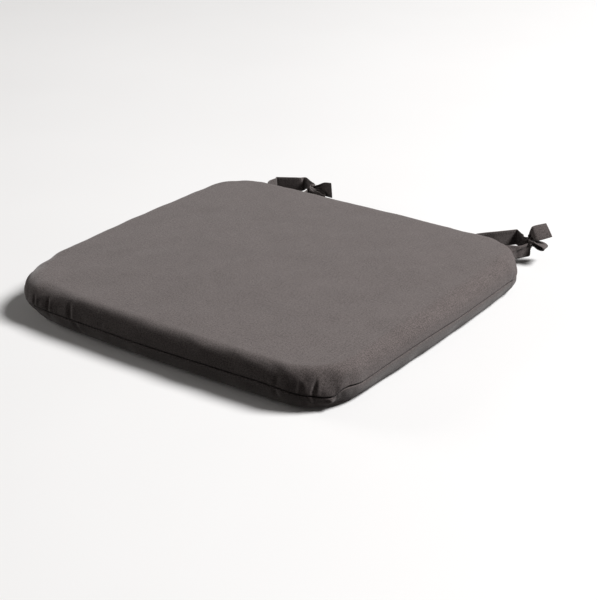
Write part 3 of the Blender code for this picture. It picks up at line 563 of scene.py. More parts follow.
# ---------------------------------------------------------------- the cover's two panels
def panel(up, width, height, power, rings, spacing, puckers, flat_height, roll, shy, tight):
    """One panel of the cover: its turned-in allowance, rolled edge, side and flat, as one sheet of cloth."""
    inset, rise, along, total = profile(width, height, power, rings)
    seam_z = SEAM_Z + SEAM_LIFT
    shy = shy * (1 - ZIP_SHARE)
    rows, flats = [], []
    for depth in (1.0, 0.62, 0.30):
        rows.append(np.column_stack([RING - NORMAL * (roll + shy + (FLANGE - roll - shy) * depth)[:, None], seam_z + up * HALF_GAP]))
        flats.append(RING + NORMAL * (total - width * tight + roll * 0.4 + (FLANGE - roll) * depth)[:, None])
    for turn in (15, 40, 65, 88):
        t = math.radians(turn)
        edge = roll * (1 - math.sin(t)) + shy
        lift = HALF_GAP + roll * (1 - math.cos(t))
        rows.append(np.column_stack([RING - NORMAL * edge[:, None], seam_z + up * lift]))
        flats.append(RING + NORMAL * (np.ones(COUNT) * (total - width * tight + roll * 0.4 * (1 - turn / 90)))[:, None])
    start = HALF_GAP + roll
    for k in range(1, rings):
        share = along[k] / total
        # the side is measured from the rolled edge, so that every row keeps its place
        z_up = start + (height - start) * rise[k] / height
        z = SEAM_Z + SEAM_LIFT * (1 - smooth(share, 0.0, 0.75)) + up * z_up
        held = shy * (1 - smooth(along[k], 0.0, 0.006))
        rows.append(np.column_stack([RING - NORMAL * (inset[k] * tight + held)[:, None], z]))
        flats.append(RING + NORMAL * (np.ones(COUNT) * (total - along[k] - width * tight))[:, None])
    side_rows = len(rows)
    lengths = np.concatenate([np.zeros(7 * COUNT), np.repeat(along[1:], COUNT)])
    edge = rows[-1][:, :2]
    inside, faces2, polar = filled(edge, spacing)
    share = reach_share(inside, polar)
    points = np.concatenate([*rows, np.column_stack([inside, flat_height(inside, share)])])
    flat_map = np.concatenate([*flats, inside])
    faces = []
    for r in range(side_rows - 1):
        for k in range(COUNT):
            n = (k + 1) % COUNT
            faces.append((r * COUNT + k, r * COUNT + n, (r + 1) * COUNT + n, (r + 1) * COUNT + k))
    offset = (side_rows - 1) * COUNT
    for face in faces2:
        faces.append(tuple(offset + i for i in face))
    if up < 0:
        faces = [tuple(reversed(f)) for f in faces]
    # puckers push the side in along the outline's normal, and a little down at the roundover
    s_all = np.tile(S, side_rows)
    normals = np.tile(NORMAL, (side_rows, 1))
    depth = pucker_depth(puckers, s_all, lengths)
    hold = smooth(lengths, 0.0, 0.0022)
    depth *= 0.35 + 0.65 * hold
    side_count = side_rows * COUNT
    tilt = np.clip(lengths / total, 0, 1) ** 2
    tilt = tilt * math.pi / 2 * 0.85
    points[:side_count, :2] -= normals * (depth * np.cos(tilt))[:, None]
    points[:side_count, 2] -= up * depth * np.sin(tilt)
    info = {"side": side_count, "rows": side_rows, "lengths": lengths, "total": total, "share": share}
    return points, faces, flat_map, info


def top_flat(points, share):
    return EDGE_TOP + CROWN * (1 - share**2) ** 1.35


def low_flat(points, share):
    return np.zeros(len(points))


def make_top():
    points, faces, flat_map, info = panel(1, TOP_ROUND, TOP_HEIGHT, TOP_POWER, 20, 0.0050, TOP_PUCKERS, top_flat, 0.0008, 0.0, TIGHT)
    x, y = points[:, 0], points[:, 1]
    # the foam isn't quite even: soft hollows of a few tenths of a millimetre, fading out at the seam
    height = smooth(points[:, 2], SEAM_Z + 0.006, EDGE_TOP)
    points[:, 2] += 0.00022 * ripple(x, y, 5) * height
    # the front edge and the sides ripple slightly
    n = info["side"]
    side = np.tile(NORMAL, (info["rows"], 1))
    wave = ripple(np.tile(S, info["rows"]) * 1.3, info["lengths"] * 0.8, 11)
    belly = np.sin(math.pi * np.clip(info["lengths"] / info["total"], 0, 1))
    points[:n, :2] += side * (0.00045 * wave * belly)[:, None]
    obj = mesh_object("top_cover", points, faces, CANVAS, flat_map)
    return obj, info


def make_bottom():
    points, faces, flat_map, info = panel(-1, LOW_ROUND, SEAM_Z, LOW_POWER, 13, 0.0080, LOW_PUCKERS, low_flat, 0.0006, 0.0004, 1.0)
    n = info["side"]
    side = np.tile(NORMAL, (info["rows"], 1))
    wave = ripple(np.tile(S, info["rows"]) * 1.1, info["lengths"] * 0.6, 23)
    belly = np.sin(math.pi * np.clip(info["lengths"] / info["total"], 0, 1))
    points[:n, :2] += side * (0.00035 * wave * belly)[:, None]
    # the front left corner is drawn in further under the pad
    share = np.clip(info["lengths"] / info["total"], 0, 1)
    tuck = np.exp(-((around(np.tile(S, info["rows"]), 0.064) / 0.032) ** 2)) * smooth(share, 0.0, 0.45)
    points[:n, :2] -= side * (0.0034 * tuck * (1 - 0.5 * share))[:, None]
    lifted = np.exp(-((np.hypot(points[:, 0] + 0.188, points[:, 1] + 0.172) / 0.026) ** 2))
    points[:, 2] += 0.0052 * lifted * (1 - points[:, 2] / SEAM_Z)
    points[:, 2] = np.maximum(points[:, 2], 0.0)
    return mesh_object("bottom_cover", points, faces, CANVAS, flat_map), info


def settle(obj, info, spare, cap, frames=20):
    """Lets the cloth settle over the pad. It is cut a little fuller than its seam round the corners, it is pinned at the
    seam, and it is held out from inside. The broad swelling is taken back out, so that the pad keeps its size and only
    the gathers stay."""
    mesh, scene = obj.data, bpy.context.scene
    count = len(mesh.vertices)
    start = np.empty(count * 3)
    mesh.vertices.foreach_get("co", start)
    start = start.reshape(-1, 3)
    n = info["side"]
    normals = np.tile(NORMAL, (info["rows"], 1))
    share = np.clip(info["lengths"] / info["total"], 0, 1)
    fuller = start.copy()
    fuller[:n, :2] += normals * (spare * (1 - smooth(share, 0.25, 1.0)))[:, None]
    obj.shape_key_add(name="sewn", from_mix=False)
    cut = obj.shape_key_add(name="cut", from_mix=False)
    cut.data.foreach_set("co", fuller.ravel())
    pins = obj.vertex_groups.new(name="seam")
    pins.add(list(range(8 * COUNT)), 1.0, "REPLACE")
    cloth = obj.modifiers.new("Cloth", "CLOTH")
    values = cloth.settings
    values.quality = 6
    values.mass = 0.02
    values.tension_stiffness = values.compression_stiffness = 25
    values.shear_stiffness = 8
    values.bending_stiffness = 0.05
    values.vertex_group_mass = "seam"
    values.use_pressure = True
    values.uniform_pressure_force = 1.2
    values.effector_weights.gravity = 0
    values.rest_shape_key = cut
    cloth.collision_settings.use_collision = False
    cloth.point_cache.frame_start, cloth.point_cache.frame_end = 1, frames
    for step in range(1, frames + 1):
        scene.frame_set(step)
    done = obj.evaluated_get(bpy.context.evaluated_depsgraph_get())
    end = np.empty(count * 3)
    done.data.vertices.foreach_get("co", end)
    end = end.reshape(-1, 3)
    obj.modifiers.remove(cloth)
    obj.shape_key_clear()
    obj.vertex_groups.clear()
    scene.frame_set(1)
    moved = end - start
    print(obj.name, "settled by up to", round(float(np.abs(moved).max()) * 1000, 2), "mm, mean", round(float(np.linalg.norm(moved, axis=1).mean()) * 1000, 2))
    x, y = start[:, 0] / 0.2, start[:, 1] / 0.2
    terms = np.stack([x**i * y**j for i in range(7) for j in range(7 - i)], 1)
    inner = np.arange(count) >= n - COUNT
    fit, *_ = np.linalg.lstsq(terms[inner], moved[inner], rcond=None)
    broad = terms @ fit
    calm = moved - broad
    rows = moved[:n].reshape(info["rows"], COUNT, 3)
    spread = np.arange(COUNT)
    for r in range(info["rows"] - 1):
        for axis in range(3):
            line = np.interp(np.linspace(0, AROUND, 700, endpoint=False), S, rows[r, :, axis], period=AROUND)
            wide = np.fft.irfft(np.fft.rfft(line) * (np.arange(351) < 16), 700)
            wide = np.interp(S, np.linspace(0, AROUND, 700, endpoint=False), wide, period=AROUND)
            edge = calm[r * COUNT + spread, axis]
            calm[r * COUNT + spread, axis] = rows[r, :, axis] - wide
    # the cover is taut: only a part of the gathers shows, less over the top than down the sides
    gain = np.full(count, 0.10)
    gain[:n] = 0.10 + 0.22 * (1 - smooth(share, 0.35, 1.0))
    calm *= gain[:, None]
    size = np.linalg.norm(calm, axis=1)[:, None]
    calm *= cap * np.tanh(size / cap) / np.maximum(size, 1e-9)
    print(obj.name, "gathers up to", round(float(np.linalg.norm(calm, axis=1).max()) * 1000, 2), "mm")
    mesh.vertices.foreach_set("co", (start + calm).ravel())
    mesh.update()


def solid_cloth(obj, levels):
    more = obj.modifiers.new("finer", "SUBSURF")
    more.levels = more.render_levels = levels
    thick = obj.modifiers.new("cloth", "SOLIDIFY")
    thick.thickness = CLOTH
    thick.offset = -1
    thick.use_even_offset = False


top_cover, TOP_INFO = make_top()
bottom_cover, LOW_INFO = make_bottom()
settle(top_cover, TOP_INFO, 0.0022, 0.0009)


def zip_stitches(name, cover, z):
    """The row of stitches that holds a zip tape, laid on the cover's own surface."""
    tree = BVHTree.FromPolygons([v.co.copy() for v in cover.data.vertices], [tuple(f.vertices) for f in cover.data.polygons])
    points, faces = [], []
    pitch, size, radius = 0.0029, 0.0021, 0.00020
    dips = np.array([-0.00016, 0.00014, 0.00020, 0.00014, -0.00016])
    for begin in np.arange(-ZIP_HALF - 0.004, ZIP_HALF + 0.003, pitch):
        line = []
        for x, dip in zip(np.linspace(begin, begin + size, 5), dips):
            spot, face, _, _ = tree.ray_cast(Vector((x, REAR + 0.02, z)), Vector((0, -1, 0)))
            if spot is None:
                break
            face = face if face.y > 0 else -face
            line.append((spot + face * dip, face))
        if len(line) < 5:
            continue
        base = len(points)
        for spot, face in line:
            side = Vector((1, 0, 0)).cross(face).normalized()
            for j in range(6):
                a = j * math.pi / 3
                points.append(spot + radius * (math.cos(a) * face + math.sin(a) * side))
        for q in range(4):
            for j in range(6):
                m = (j + 1) % 6
                faces.append((base + q * 6 + j, base + q * 6 + m, base + (q + 1) * 6 + m, base + (q + 1) * 6 + j))
        faces.append(tuple(base + j for j in reversed(range(6))))
        faces.append(tuple(base + 24 + j for j in range(6)))
    obj = mesh_object(name, points, faces, THREAD)
    outwards(obj)
    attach(obj, "pad")


zip_stitches("zip_stitches_upper", top_cover, SEAM_Z + 0.0078)
zip_stitches("zip_stitches_lower", bottom_cover, SEAM_Z - 0.0074)
for cover, node in ((top_cover, "top_cover_panel"), (bottom_cover, "bottom_cover_panel")):
    solid_cloth(cover, 1)
    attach(cover, "pad")
    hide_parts(node)


# ---------------------------------------------------------------- foam
def make_foam():
    """The foam slab inside, a little smaller than the cover so that the cloth's puckers clear it."""
    clear = 0.0031
    pick = np.arange(0, COUNT, 3)
    ring, normal, zip_share = RING[pick], NORMAL[pick], ZIP_SHARE[pick]
    rows = []
    for share, inset in ((0.0, 0.0075), (0.10, 0.0060)):
        rows.append((np.full(len(pick), inset) + 0.002 * zip_share, SEAM_Z + share * TOP_HEIGHT))
    for share in (0.22, 0.38, 0.54, 0.70, 0.83, 0.93, 0.985):
        inset = float(round_inset(share, TOP_ROUND - 0.002, TOP_POWER)) + clear
        rows.append((np.full(len(pick), inset) + 0.0045 * zip_share * (1 - share), SEAM_Z + share * (TOP_HEIGHT - 0.0030)))
    low = []
    for share in (0.12, 0.35, 0.60, 0.85):
        inset = float(round_inset(share, LOW_ROUND, LOW_POWER)) + clear
        low.append((np.full(len(pick), max(inset, 0.0060)) + 0.004 * zip_share * (1 - share), SEAM_Z - share * (SEAM_Z - 0.0020)))
    rings = [np.column_stack([ring - normal * i[:, None], np.full(len(pick), z)]) for i, z in list(reversed(low)) + rows]
    count = len(pick)
    faces = []
    for r in range(len(rings) - 1):
        for k in range(count):
            n = (k + 1) % count
            faces.append((r * count + k, r * count + n, (r + 1) * count + n, (r + 1) * count + k))
    points = np.concatenate(rings)
    for row, z0, crown in ((len(rings) - 1, EDGE_TOP - 0.0030, CROWN), (0, 0.0020, 0.0)):
        edge = rings[row][:, :2]
        inside, tris, polar = filled(edge, 0.012)
        base = len(points)
        level = z0 + crown * (1 - reach_share(inside, polar) ** 2) ** 1.35
        points = np.concatenate([points, np.column_stack([inside, level])])
        for f in tris:
            f = [row * count + i if i < count else base + i - count for i in f]
            faces.append(tuple(f if row else reversed(f)))
    obj = mesh_object("foam_slab", points, faces, FOAM)
    outwards(obj)
    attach(obj, "pad")
    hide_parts("foam_core")
    return obj


make_foam()


# ---------------------------------------------------------------- tapes
def spline(points, count):
    """A smooth line through rows of numbers, resampled evenly by the length of its first three columns."""
    points = [np.asarray(p, float) for p in points]
    padded = [2 * points[0] - points[1], *points, 2 * points[-1] - points[-2]]
    line = []
    for i in range(1, len(padded) - 2):
        p0, p1, p2, p3 = padded[i - 1 : i + 3]
        for t in np.linspace(0, 1, 24, endpoint=False):
            line.append(
                0.5 * (2 * p1 + (p2 - p0) * t + (2 * p0 - 5 * p1 + 4 * p2 - p3) * t * t + (3 * p1 - p0 - 3 * p2 + p3) * t**3)
            )
    line.append(points[-1])
    line = np.array(line)
    length = np.concatenate([[0], np.cumsum(np.linalg.norm(np.diff(line[:, :3], axis=0), axis=1))])
    s = np.linspace(0, length[-1], count)
    return np.stack([np.interp(s, length, line[:, k]) for k in range(line.shape[1])], 1), length[-1]


TAPE_ACROSS = 20


def tape(name, keys, step=0.0011, folds=2.5, phase=0.4, curl=0.0004, node=None, creases=()):
    """A folded canvas tape through keys of (x, y, z, across x, y, z, width). Where it is narrower than its own width it
    pleats, so that the cloth it is cut from stays the same."""
    rough, length = spline(keys, 400)
    line, length = spline(keys, max(24, int(length / step)))
    centres, widths = line[:, :3], np.clip(line[:, 6], 0.004, TIE_WIDTH)
    ahead = np.gradient(centres, axis=0)
    ahead /= np.linalg.norm(ahead, axis=1)[:, None]
    across = line[:, 3:6]
    across = across - (across * ahead).sum(1)[:, None] * ahead
    across /= np.linalg.norm(across, axis=1)[:, None]
    normal = np.cross(ahead, across)
    u = np.linspace(-0.5, 0.5, TAPE_ACROSS)
    front, back = [], []
    middle = np.zeros((len(line), TAPE_ACROSS, 3))
    for k in range(len(line)):
        w = widths[k]
        spare = math.sqrt(max(TIE_WIDTH**2 - w**2, 0.0)) / (4 * folds)
        spare = min(spare, 0.0016) * float(smooth(TIE_WIDTH - w, 0.0036, 0.0085))
        drift = 0.5 * math.sin(k * 0.11 + phase * 5)
        wave = spare * np.sin(2 * math.pi * (folds * (u + 0.5) + phase + drift * 0.15))
        cup = curl * (4 * u * u - 0.5) * math.sin(k * 0.07 + phase * 9)
        raised = np.zeros(TAPE_ACROSS)
        here = length * k / (len(line) - 1)
        for runs, places, tall in creases:
            if runs[0] < here < runs[-1]:
                off = (u - np.interp(here, runs, places)) * w
                fade = math.sin(math.pi * (here - runs[0]) / (runs[-1] - runs[0])) ** 0.5
                raised += tall * fade * np.where(off > 0, np.exp(-((off / 0.0034) ** 2)), np.exp(-((off / 0.0008) ** 2)))
        middle[k] = centres[k] + across[k] * (u * w)[:, None] + normal[k] * (wave + cup + raised)[:, None]
    side = np.gradient(middle, axis=1)
    side /= np.linalg.norm(side, axis=2)[:, :, None]
    face = np.cross(ahead[:, None, :], side)
    face /= np.linalg.norm(face, axis=2)[:, :, None]
    half = np.full(TAPE_ACROSS, TIE_THICK / 2)
    half[[0, -1]] *= 0.55
    front = middle + face * half[None, :, None]
    back = middle - face * half[None, :, None]
    points = np.concatenate([front.reshape(-1, 3), back.reshape(-1, 3)])
    rows, total = len(line), len(line) * TAPE_ACROSS
    faces, flat_map = [], np.zeros((2 * total, 2))
    run = np.linspace(0, length, rows)
    for k in range(rows):
        for i in range(TAPE_ACROSS):
            flat_map[k * TAPE_ACROSS + i] = (run[k], u[i] * TIE_WIDTH)
            flat_map[total + k * TAPE_ACROSS + i] = (run[k] + 0.31, u[i] * TIE_WIDTH)
    for k in range(rows - 1):
        for i in range(TAPE_ACROSS - 1):
            a, b = k * TAPE_ACROSS + i, (k + 1) * TAPE_ACROSS + i
            faces.append((a, a + 1, b + 1, b))
            faces.append((total + a, total + b, total + b + 1, total + a + 1))
        for i in (0, TAPE_ACROSS - 1):
            a, b = k * TAPE_ACROSS + i, (k + 1) * TAPE_ACROSS + i
            faces.append((a, b, total + b, total + a) if i == 0 else (a, total + a, total + b, b))
    for k in (0, rows - 1):
        for i in range(TAPE_ACROSS - 1):
            a = k * TAPE_ACROSS + i
            faces.append((a, total + a, total + a + 1, a + 1) if k == 0 else (a, a + 1, total + a + 1, total + a))
    obj = mesh_object(name, points, faces, TAPE_CANVAS, flat_map)
    outwards(obj)
    more = obj.modifiers.new("finer", "SUBSURF")
    more.levels = more.render_levels = 1
    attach(obj, "pad")
    if node:
        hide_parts(node)
    stitches(name + "_stitches", middle, face, length)
    return obj, length


def stitches(name, middle, face, length):
    """Rows of stitches along both long edges of a tape, which close its fold."""
    points, faces = [], []
    pitch, size, radius = 0.0030, 0.0022, 0.00019
    rows = len(middle)
    run = np.linspace(0, length, rows)
    for lane in (0.13, 0.87):
        at = lane * (TAPE_ACROSS - 1)
        i, f = int(at), at - int(at)
        line = middle[:, i] * (1 - f) + middle[:, i + 1] * f
        up = face[:, i] * (1 - f) + face[:, i + 1] * f
        begin = 0.004
        while begin + size < length - 0.002:
            for sign in (1, -1):
                base = len(points)
                s = np.linspace(begin, begin + size, 5) + (0 if sign > 0 else pitch * 0.5)
                if s[-1] > length:
                    continue
                c = np.stack([np.interp(s, run, line[:, j]) for j in range(3)], 1)
                n = np.stack([np.interp(s, run, up[:, j]) for j in range(3)], 1)
                n /= np.linalg.norm(n, axis=1)[:, None]
                t = np.gradient(c, axis=0)
                t /= np.linalg.norm(t, axis=1)[:, None]
                b = np.cross(t, n)
                dip = np.array([-0.00020, 0.00012, 0.00020, 0.00012, -0.00020])
                c = c + sign * n * (TIE_THICK / 2 + dip)[:, None]
                for q in range(5):
                    for j in range(6):
                        a = j * math.pi / 3
                        points.append(c[q] + radius * (math.cos(a) * n[q] + math.sin(a) * b[q]))
                for q in range(4):
                    for j in range(6):
                        m = (j + 1) % 6
                        faces.append((base + q * 6 + j, base + q * 6 + m, base + (q + 1) * 6 + m, base + (q + 1) * 6 + j))
                faces.append(tuple(base + j for j in reversed(range(6))))
                faces.append(tuple(base + 24 + j for j in range(6)))
            begin += pitch
    obj = mesh_object(name, points, faces, THREAD)
    outwards(obj)
    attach(obj, "pad")


UP = np.array((0.0, 0.0, 1.0))
CLEAR = TIE_THICK / 2 + GAP


def post(side):
    along = np.array((side * math.sin(POST_TURN), math.cos(POST_TURN)))
    out = np.array((side * math.cos(POST_TURN), -math.sin(POST_TURN)))
    front_out = np.array((side * POST_FRONT_OUT[0], POST_FRONT_OUT[1]))
    rear_out = front_out + POST_DEPTH * along
    return front_out, rear_out, rear_out - POST_WIDTH * out, front_out - POST_WIDTH * out, along, out


def root_of(x):
    point, normal = at_outline(x)
    return point - normal * TIE_ROOT_INSET, normal


def run_keys(path, heights, start_dir, twist, width=TIE_WIDTH):
    """A tie's run: sewn in flat, then turned on edge to go round the upright."""
    line = np.array([(*p, z) for p, z in zip(path, heights)])
    far = np.concatenate([[0], np.cumsum(np.linalg.norm(np.diff(line, axis=0), axis=1))])
    turned = smooth(far, 0.002, 0.006 + twist) * math.pi / 2
    keys = []
    for p, t in zip(line, turned):
        a = math.cos(t) * np.array((*start_dir, 0.0)) + math.sin(t) * UP
        keys.append((*p, *a, width))
    return keys


def wrap_keys(centre, axis, first, radius, turns, width, shift, steps=9):
    """A turn of tape round the knot."""
    axis = np.asarray(axis, float) / np.linalg.norm(axis)
    e1 = np.asarray(first, float)
    e1 = e1 - e1 @ axis * axis
    e1 /= np.linalg.norm(e1)
    e2 = np.cross(axis, e1)
    keys = []
    for t in np.linspace(0, 1, steps):
        a = 2 * math.pi * turns * t
        p = np.asarray(centre) + radius * (math.cos(a) * e1 + math.sin(a) * e2) + axis * shift * (t - 0.5)
        keys.append((*p, *axis, width))
    return keys


def loop_keys(start, ahead, across, length, height, narrow, wide=TIE_WIDTH):
    """A bow's loop: out along a direction and back."""
    ahead = np.asarray(ahead, float) / np.linalg.norm(ahead)
    across = np.asarray(across, float)
    across = across - across @ ahead * ahead
    across /= np.linalg.norm(across)
    rise = np.cross(ahead, across)
    shape = [(0.02, 0.25), (0.28, 0.70), (0.60, 1.0), (0.86, 0.82), (1.0, 0.0)]
    points = [(s, h) for s, h in shape] + [(s, -h) for s, h in reversed(shape[:-1])]
    keys = []
    for s, h in points:
        p = np.asarray(start) + ahead * s * length + rise * h * height
        keys.append((*p, *across, narrow + (wide - narrow) * float(smooth(s, 0.0, 0.7))))
    return keys


def at(p, z):
    return np.array((p[0], p[1], z))


TIE_LENGTHS = {}


def make_right_ties():
    front_out, rear_out, rear_in, front_in, along, out = post(1)
    knot = rear_out + along * 0.0045 - out * 0.0055
    root, normal = root_of(TIE_OUTER_X)
    axis = np.array((0.955, 0.02, -0.29))
    keys = run_keys(
        [root, root + normal * 0.0030, root + normal * 0.0065],
        [SEAM_Z, SEAM_Z, SEAM_Z],
        (-normal[1], normal[0]),
        0.018,
    )
    lean = (*(-0.12 * out), 1.0)
    keys += [
        (*at(rear_out - along * 0.0180 + out * (CLEAR + 0.0012), 0.0148), *lean, 0.0150),
        (*at(rear_out - along * 0.0110 + out * (CLEAR + 0.0006), 0.0142), *lean, 0.0140),
        (*at(rear_out - along * 0.0045 + out * CLEAR, 0.0144), *lean, 0.0146),
        (*at(rear_out - along * 0.0012 + out * CLEAR, 0.0147), *lean, 0.0150),
        (*at(rear_out + along * CLEAR * 1.1 - out * 0.0004, 0.0154), 0.02, 0.06, 0.99, 0.0150),
        (*at(rear_out + along * 0.0022 - out * 0.0034, 0.0186), 0.10, 0.20, 0.95, 0.0120),
    ]
    keys += wrap_keys(at(knot, 0.0218), axis, (0.10, -0.80, -0.30), 0.0034, 0.94, 0.0080, 0.0020)
    keys += loop_keys(at(knot + out * 0.0024 - along * 0.0012, 0.0220), (0.943, 0.196, -0.290), (0.300, -0.940, 0.120), 0.0178, 0.0021, 0.0074)
    keys += [
        (*at(knot - out * 0.0012 + along * 0.0008, 0.0230), -0.10, -0.10, 0.90, 0.0072),
        (*at(knot + out * 0.0022 + along * 0.0010, 0.0286), -0.20, 0.10, 0.93, 0.0135),
        (*at(rear_out + along * 0.0074 - out * 0.0004, 0.0316), -0.38, 0.42, 0.70, 0.0174),
        (*at(rear_out + along * 0.0230 + out * 0.0008, 0.0338), -0.46, 0.58, 0.55, TIE_WIDTH),
    ]
    fold = ([0.0235, 0.0290, 0.0440], [-0.14, 0.20, 0.44], 0.0018)
    TIE_LENGTHS["right_outer"] = tape("tie_right_outer_tape", keys, node="tie_right_outer", phase=0.15, creases=[fold])[1]
    root, normal = root_of(TIE_INNER_X)
    keys = run_keys(
        [
            root,
            root + normal * 0.0030,
            root + normal * 0.0060,
            front_in - out * (CLEAR + 0.0012) - along * 0.004,
            front_in - out * CLEAR + along * 0.014,
            rear_in - out * CLEAR - along * 0.004,
            rear_in + (along - out) * CLEAR * 0.9,
            rear_in + along * CLEAR + out * 0.004,
            rear_in + along * CLEAR + out * 0.010,
            rear_out + along * (CLEAR + 0.0004) - out * 0.0135,
        ],
        [SEAM_Z, SEAM_Z, SEAM_Z, 0.0190, 0.0185, 0.0175, 0.0172, 0.0170, 0.0166, 0.0170],
        (-normal[1], normal[0]),
        0.016,
    )
    keys += [(*at(knot - out * 0.0045 - along * 0.0018, 0.0190), 0.0, 0.1, 0.98, 0.0110)]
    keys += [(*at(knot - out * 0.0010, 0.0215), 0.15, 0.3, 0.90, 0.0075)]
    keys += loop_keys(at(knot - out * 0.0025 + along * 0.0015, 0.0200), (-0.62, 0.62, -0.42), (0.55, 0.80, 0.25), 0.0215, 0.0038, 0.0066)
    keys += [
        (*at(knot - out * 0.0022 + along * 0.0002, 0.0205), 0.2, 0.3, 0.9, 0.0066),
        (*at(knot - out * 0.0072 + along * 0.0050, 0.0140), 0.1, 0.3, 0.95, 0.0110),
        (*at(knot - out * 0.0140 + along * 0.0074, 0.0112), 0.05, 0.2, 1.0, 0.0165),
        (*at(knot - out * 0.0220 + along * 0.0084, 0.0100), 0.05, 0.15, 1.0, TIE_WIDTH),
    ]
    TIE_LENGTHS["right_inner"] = tape("tie_right_inner_tape", keys, node="tie_right_inner", phase=0.6)[1]


def make_left_ties():
    front_out, rear_out, rear_in, front_in, along, out = post(-1)
    knot = np.array((-0.1150, 0.2210))
    facing = np.array((0.86, -0.51))
    sideways = np.array((0.51, 0.86))
    root, normal = root_of(-TIE_OUTER_X)
    keys = run_keys(
        [
            root,
            root + normal * 0.0030,
            root + normal * 0.0065 + out * 0.0010,
            rear_out - along * 0.021 + out * (CLEAR + 0.0080),
            rear_out - along * 0.004 + out * CLEAR,
            rear_out + (along + out) * CLEAR * 0.9,
            rear_out + along * CLEAR - out * 0.004,
            rear_in + along * CLEAR + out * 0.010,
        ],
        [SEAM_Z, SEAM_Z, SEAM_Z, 0.0205, 0.0190, 0.0185, 0.0185, 0.0182],
        (normal[1], -normal[0]),
        0.018,
    )
    keys += [
        (*at(rear_in + along * (CLEAR + 0.0003) + out * 0.001, 0.0182), -0.04, 0.05, 1.0, 0.0170),
        (*at(rear_in + along * 0.0006 - out * 0.0045, 0.0198), -0.30, 0.42, 0.80, 0.0140),
    ]
    axis = np.array((0.66, -0.39, 0.62))
    keys += wrap_keys(at(knot, 0.0240), axis, (-0.35, 0.45, 0.70), 0.0042, 0.92, 0.0088, 0.0022)
    keys += loop_keys(at(knot + sideways * 0.0030, 0.0225), (-0.10, 0.90, -0.45), (0.95, 0.20, 0.30), 0.0225, 0.0040, 0.0068)
    keys += [
        (*at(knot + sideways * 0.0006, 0.0238), 0.1, 0.1, 0.95, 0.0070),
        (*at(knot + sideways * 0.0040 + facing * 0.0080, 0.0264), 0.05, 0.1, 0.95, 0.0105),
        (*at(knot + sideways * 0.0078 + facing * 0.0160, 0.0284), 0.08, 0.08, 0.95, 0.0160),
        (*at(knot + sideways * 0.0112 + facing * 0.0285, 0.0305), 0.10, 0.02, 0.97, TIE_WIDTH),
    ]
    TIE_LENGTHS["left_outer"] = tape("tie_left_outer_tape", keys, node="tie_left_outer", phase=0.8)[1]
    root, normal = root_of(-TIE_INNER_X)
    keys = run_keys(
        [root, root + normal * 0.0030, root + normal * 0.0060, root + normal * 0.0180 + np.array((0.001, 0))],
        [SEAM_Z, SEAM_Z, 0.0172, 0.0164],
        (normal[1], -normal[0]),
        0.014,
    )
    keys += [(*at(knot - sideways * 0.0058 - facing * 0.001, 0.0200), 0.1, 0.0, 0.97, 0.0115)]
    keys += [(*at(knot - sideways * 0.0010 - facing * 0.001, 0.0240), 0.1, 0.1, 0.95, 0.0078)]
    keys += loop_keys(at(knot - sideways * 0.0042 + facing * 0.0030, 0.0248), (0.90, -0.13, -0.40), (0.36, -0.04, 0.83), 0.0210, 0.0030, 0.0068)
    keys += [
        (*at(knot - sideways * 0.0020, 0.0225), 0.2, -0.1, 0.9, 0.0068),
        (*at(knot - sideways * 0.0052 + facing * 0.003, 0.0155), 0.2, -0.2, 0.9, 0.0100),
        (*at(knot - sideways * 0.0064 + facing * 0.010, 0.0118), 0.1, -0.15, 0.95, 0.0150),
        (*at(knot - sideways * 0.0075 + facing * 0.018, 0.0102), 0.0, -0.1, 1.0, TIE_WIDTH),
    ]
    TIE_LENGTHS["left_inner"] = tape("tie_left_inner_tape", keys, node="tie_left_inner", phase=0.35)[1]


make_right_ties()
make_left_ties()
print("tie lengths", {k: round(v, 4) for k, v in TIE_LENGTHS.items()})


# ---------------------------------------------------------------- zip
def coil(name, up, node):
    """A nylon coil: one wire wound flat along the tape."""
    pitch, sides, turn = 0.00150, 6, 14
    y0, z0 = REAR - 0.00225, (COIL_NEAR + COIL_FAR) / 2
    turns = int(2 * (ZIP_HALF - 0.0004) / pitch)
    t = np.arange(turns * turn + 1) / turn
    x = -ZIP_HALF + 0.0004 + (t + (0.0 if up > 0 else 0.5)) * pitch
    x = np.clip(x, -ZIP_HALF + 0.0003, ZIP_HALF - 0.0003)
    angle = 2 * math.pi * t
    path = np.column_stack(
        [x, y0 + 0.00052 * np.sin(angle), SEAM_Z + up * (z0 + 0.00056 * np.cos(angle))]
    )
    ahead = np.gradient(path, axis=0)
    ahead /= np.linalg.norm(ahead, axis=1)[:, None]
    first = np.cross(ahead, (1.0, 0.0, 0.0))
    first /= np.linalg.norm(first, axis=1)[:, None]
    second = np.cross(ahead, first)
    radius = 0.00022
    points = []
    for k in range(len(path)):
        for j in range(sides):
            a = 2 * math.pi * j / sides
            points.append(path[k] + radius * (math.cos(a) * first[k] + math.sin(a) * second[k]))
    faces = []
    for k in range(len(path) - 1):
        for j in range(sides):
            m = (j + 1) % sides
            faces.append((k * sides + j, k * sides + m, (k + 1) * sides + m, (k + 1) * sides + j))
    faces.append(tuple(reversed(range(sides))))
    faces.append(tuple((len(path) - 1) * sides + j for j in range(sides)))
    obj = mesh_object(name, points, faces, COIL)
    outwards(obj)
    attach(obj, "pad")
    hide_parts(node)


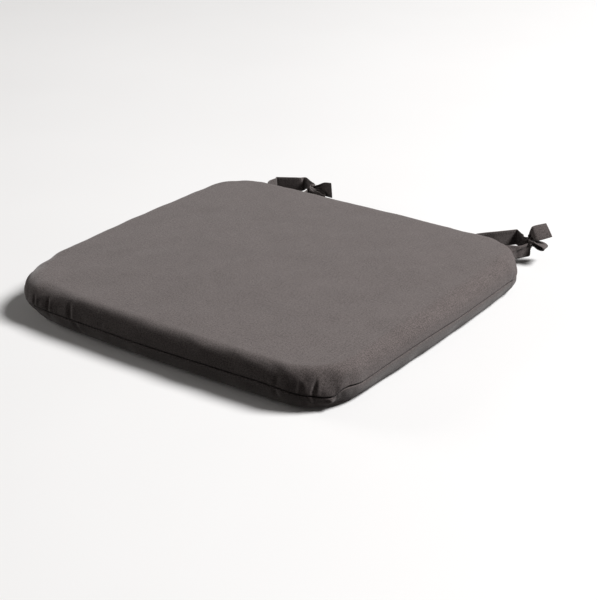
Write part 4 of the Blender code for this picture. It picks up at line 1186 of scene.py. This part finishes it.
coil("coil_upper", 1, "zip_coil_upper")
coil("coil_lower", -1, "zip_coil_lower")


# ---------------------------------------------------------------- carried-over CAD nodes
def dress(node, material):
    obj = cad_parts[node]
    obj.data.materials.clear()
    obj.data.materials.append(material)


for node in ("zip_tape_upper", "zip_tape_lower"):
    dress(node, ZIP_TAPE)
for node in ("zip_slider", "zip_pull_tab", "zip_top_stop_upper", "zip_top_stop_lower", "zip_bottom_stop"):
    dress(node, METAL)
dress("seam_thread", THREAD)


# ---------------------------------------------------------------- floor and light
def floor():
    n = Nodes("pale_floor")
    where = n.position()
    shade = n.mix(n.span(n.noise(where, 3.0, 2.0), 0.3, 0.7, 0.0, 1.0), (0.86, 0.86, 0.86, 1), (0.88, 0.88, 0.88, 1))
    n.set(Base_Color=shade, Roughness=0.9, Specular_IOR_Level=0.1)
    size = 40.0
    obj = mesh_object(
        "floor", [(-size, -size, -0.0002), (size, -size, -0.0002), (size, size, -0.0002), (-size, size, -0.0002)], [(0, 1, 2, 3)], n.material
    )
    obj.visible_diffuse = False


floor()


def area_light(name, towards, distance, size, power, colour=(1, 1, 1), aim=(0, 0, 0.02)):
    data = bpy.data.lights.new(name, "AREA")
    data.shape = "DISK"
    data.size = size
    data.energy = power
    data.color = colour
    obj = bpy.data.objects.new(name, data)
    towards = Vector(towards).normalized()
    obj.location = Vector(aim) + towards * distance
    obj.rotation_mode = "QUATERNION"
    obj.rotation_quaternion = towards.to_track_quat("Z", "Y")
    link(obj)


area_light("key", (0.66, 0.43, 0.82), 5.0, 1.9, 352.0, (1.0, 0.99, 0.985))
area_light("fill", (-0.98, -0.16, 0.30), 5.0, 2.0, 58.0, (1.0, 0.965, 0.93))

world = bpy.data.worlds.new("studio")
bpy.context.scene.world = world
world.use_nodes = True
world.node_tree.nodes["Background"].inputs["Color"].default_value = (1.0, 0.965, 0.94, 1.0)
world.node_tree.nodes["Background"].inputs["Strength"].default_value = 0.066
bpy.context.scene.view_settings.view_transform = "Standard"
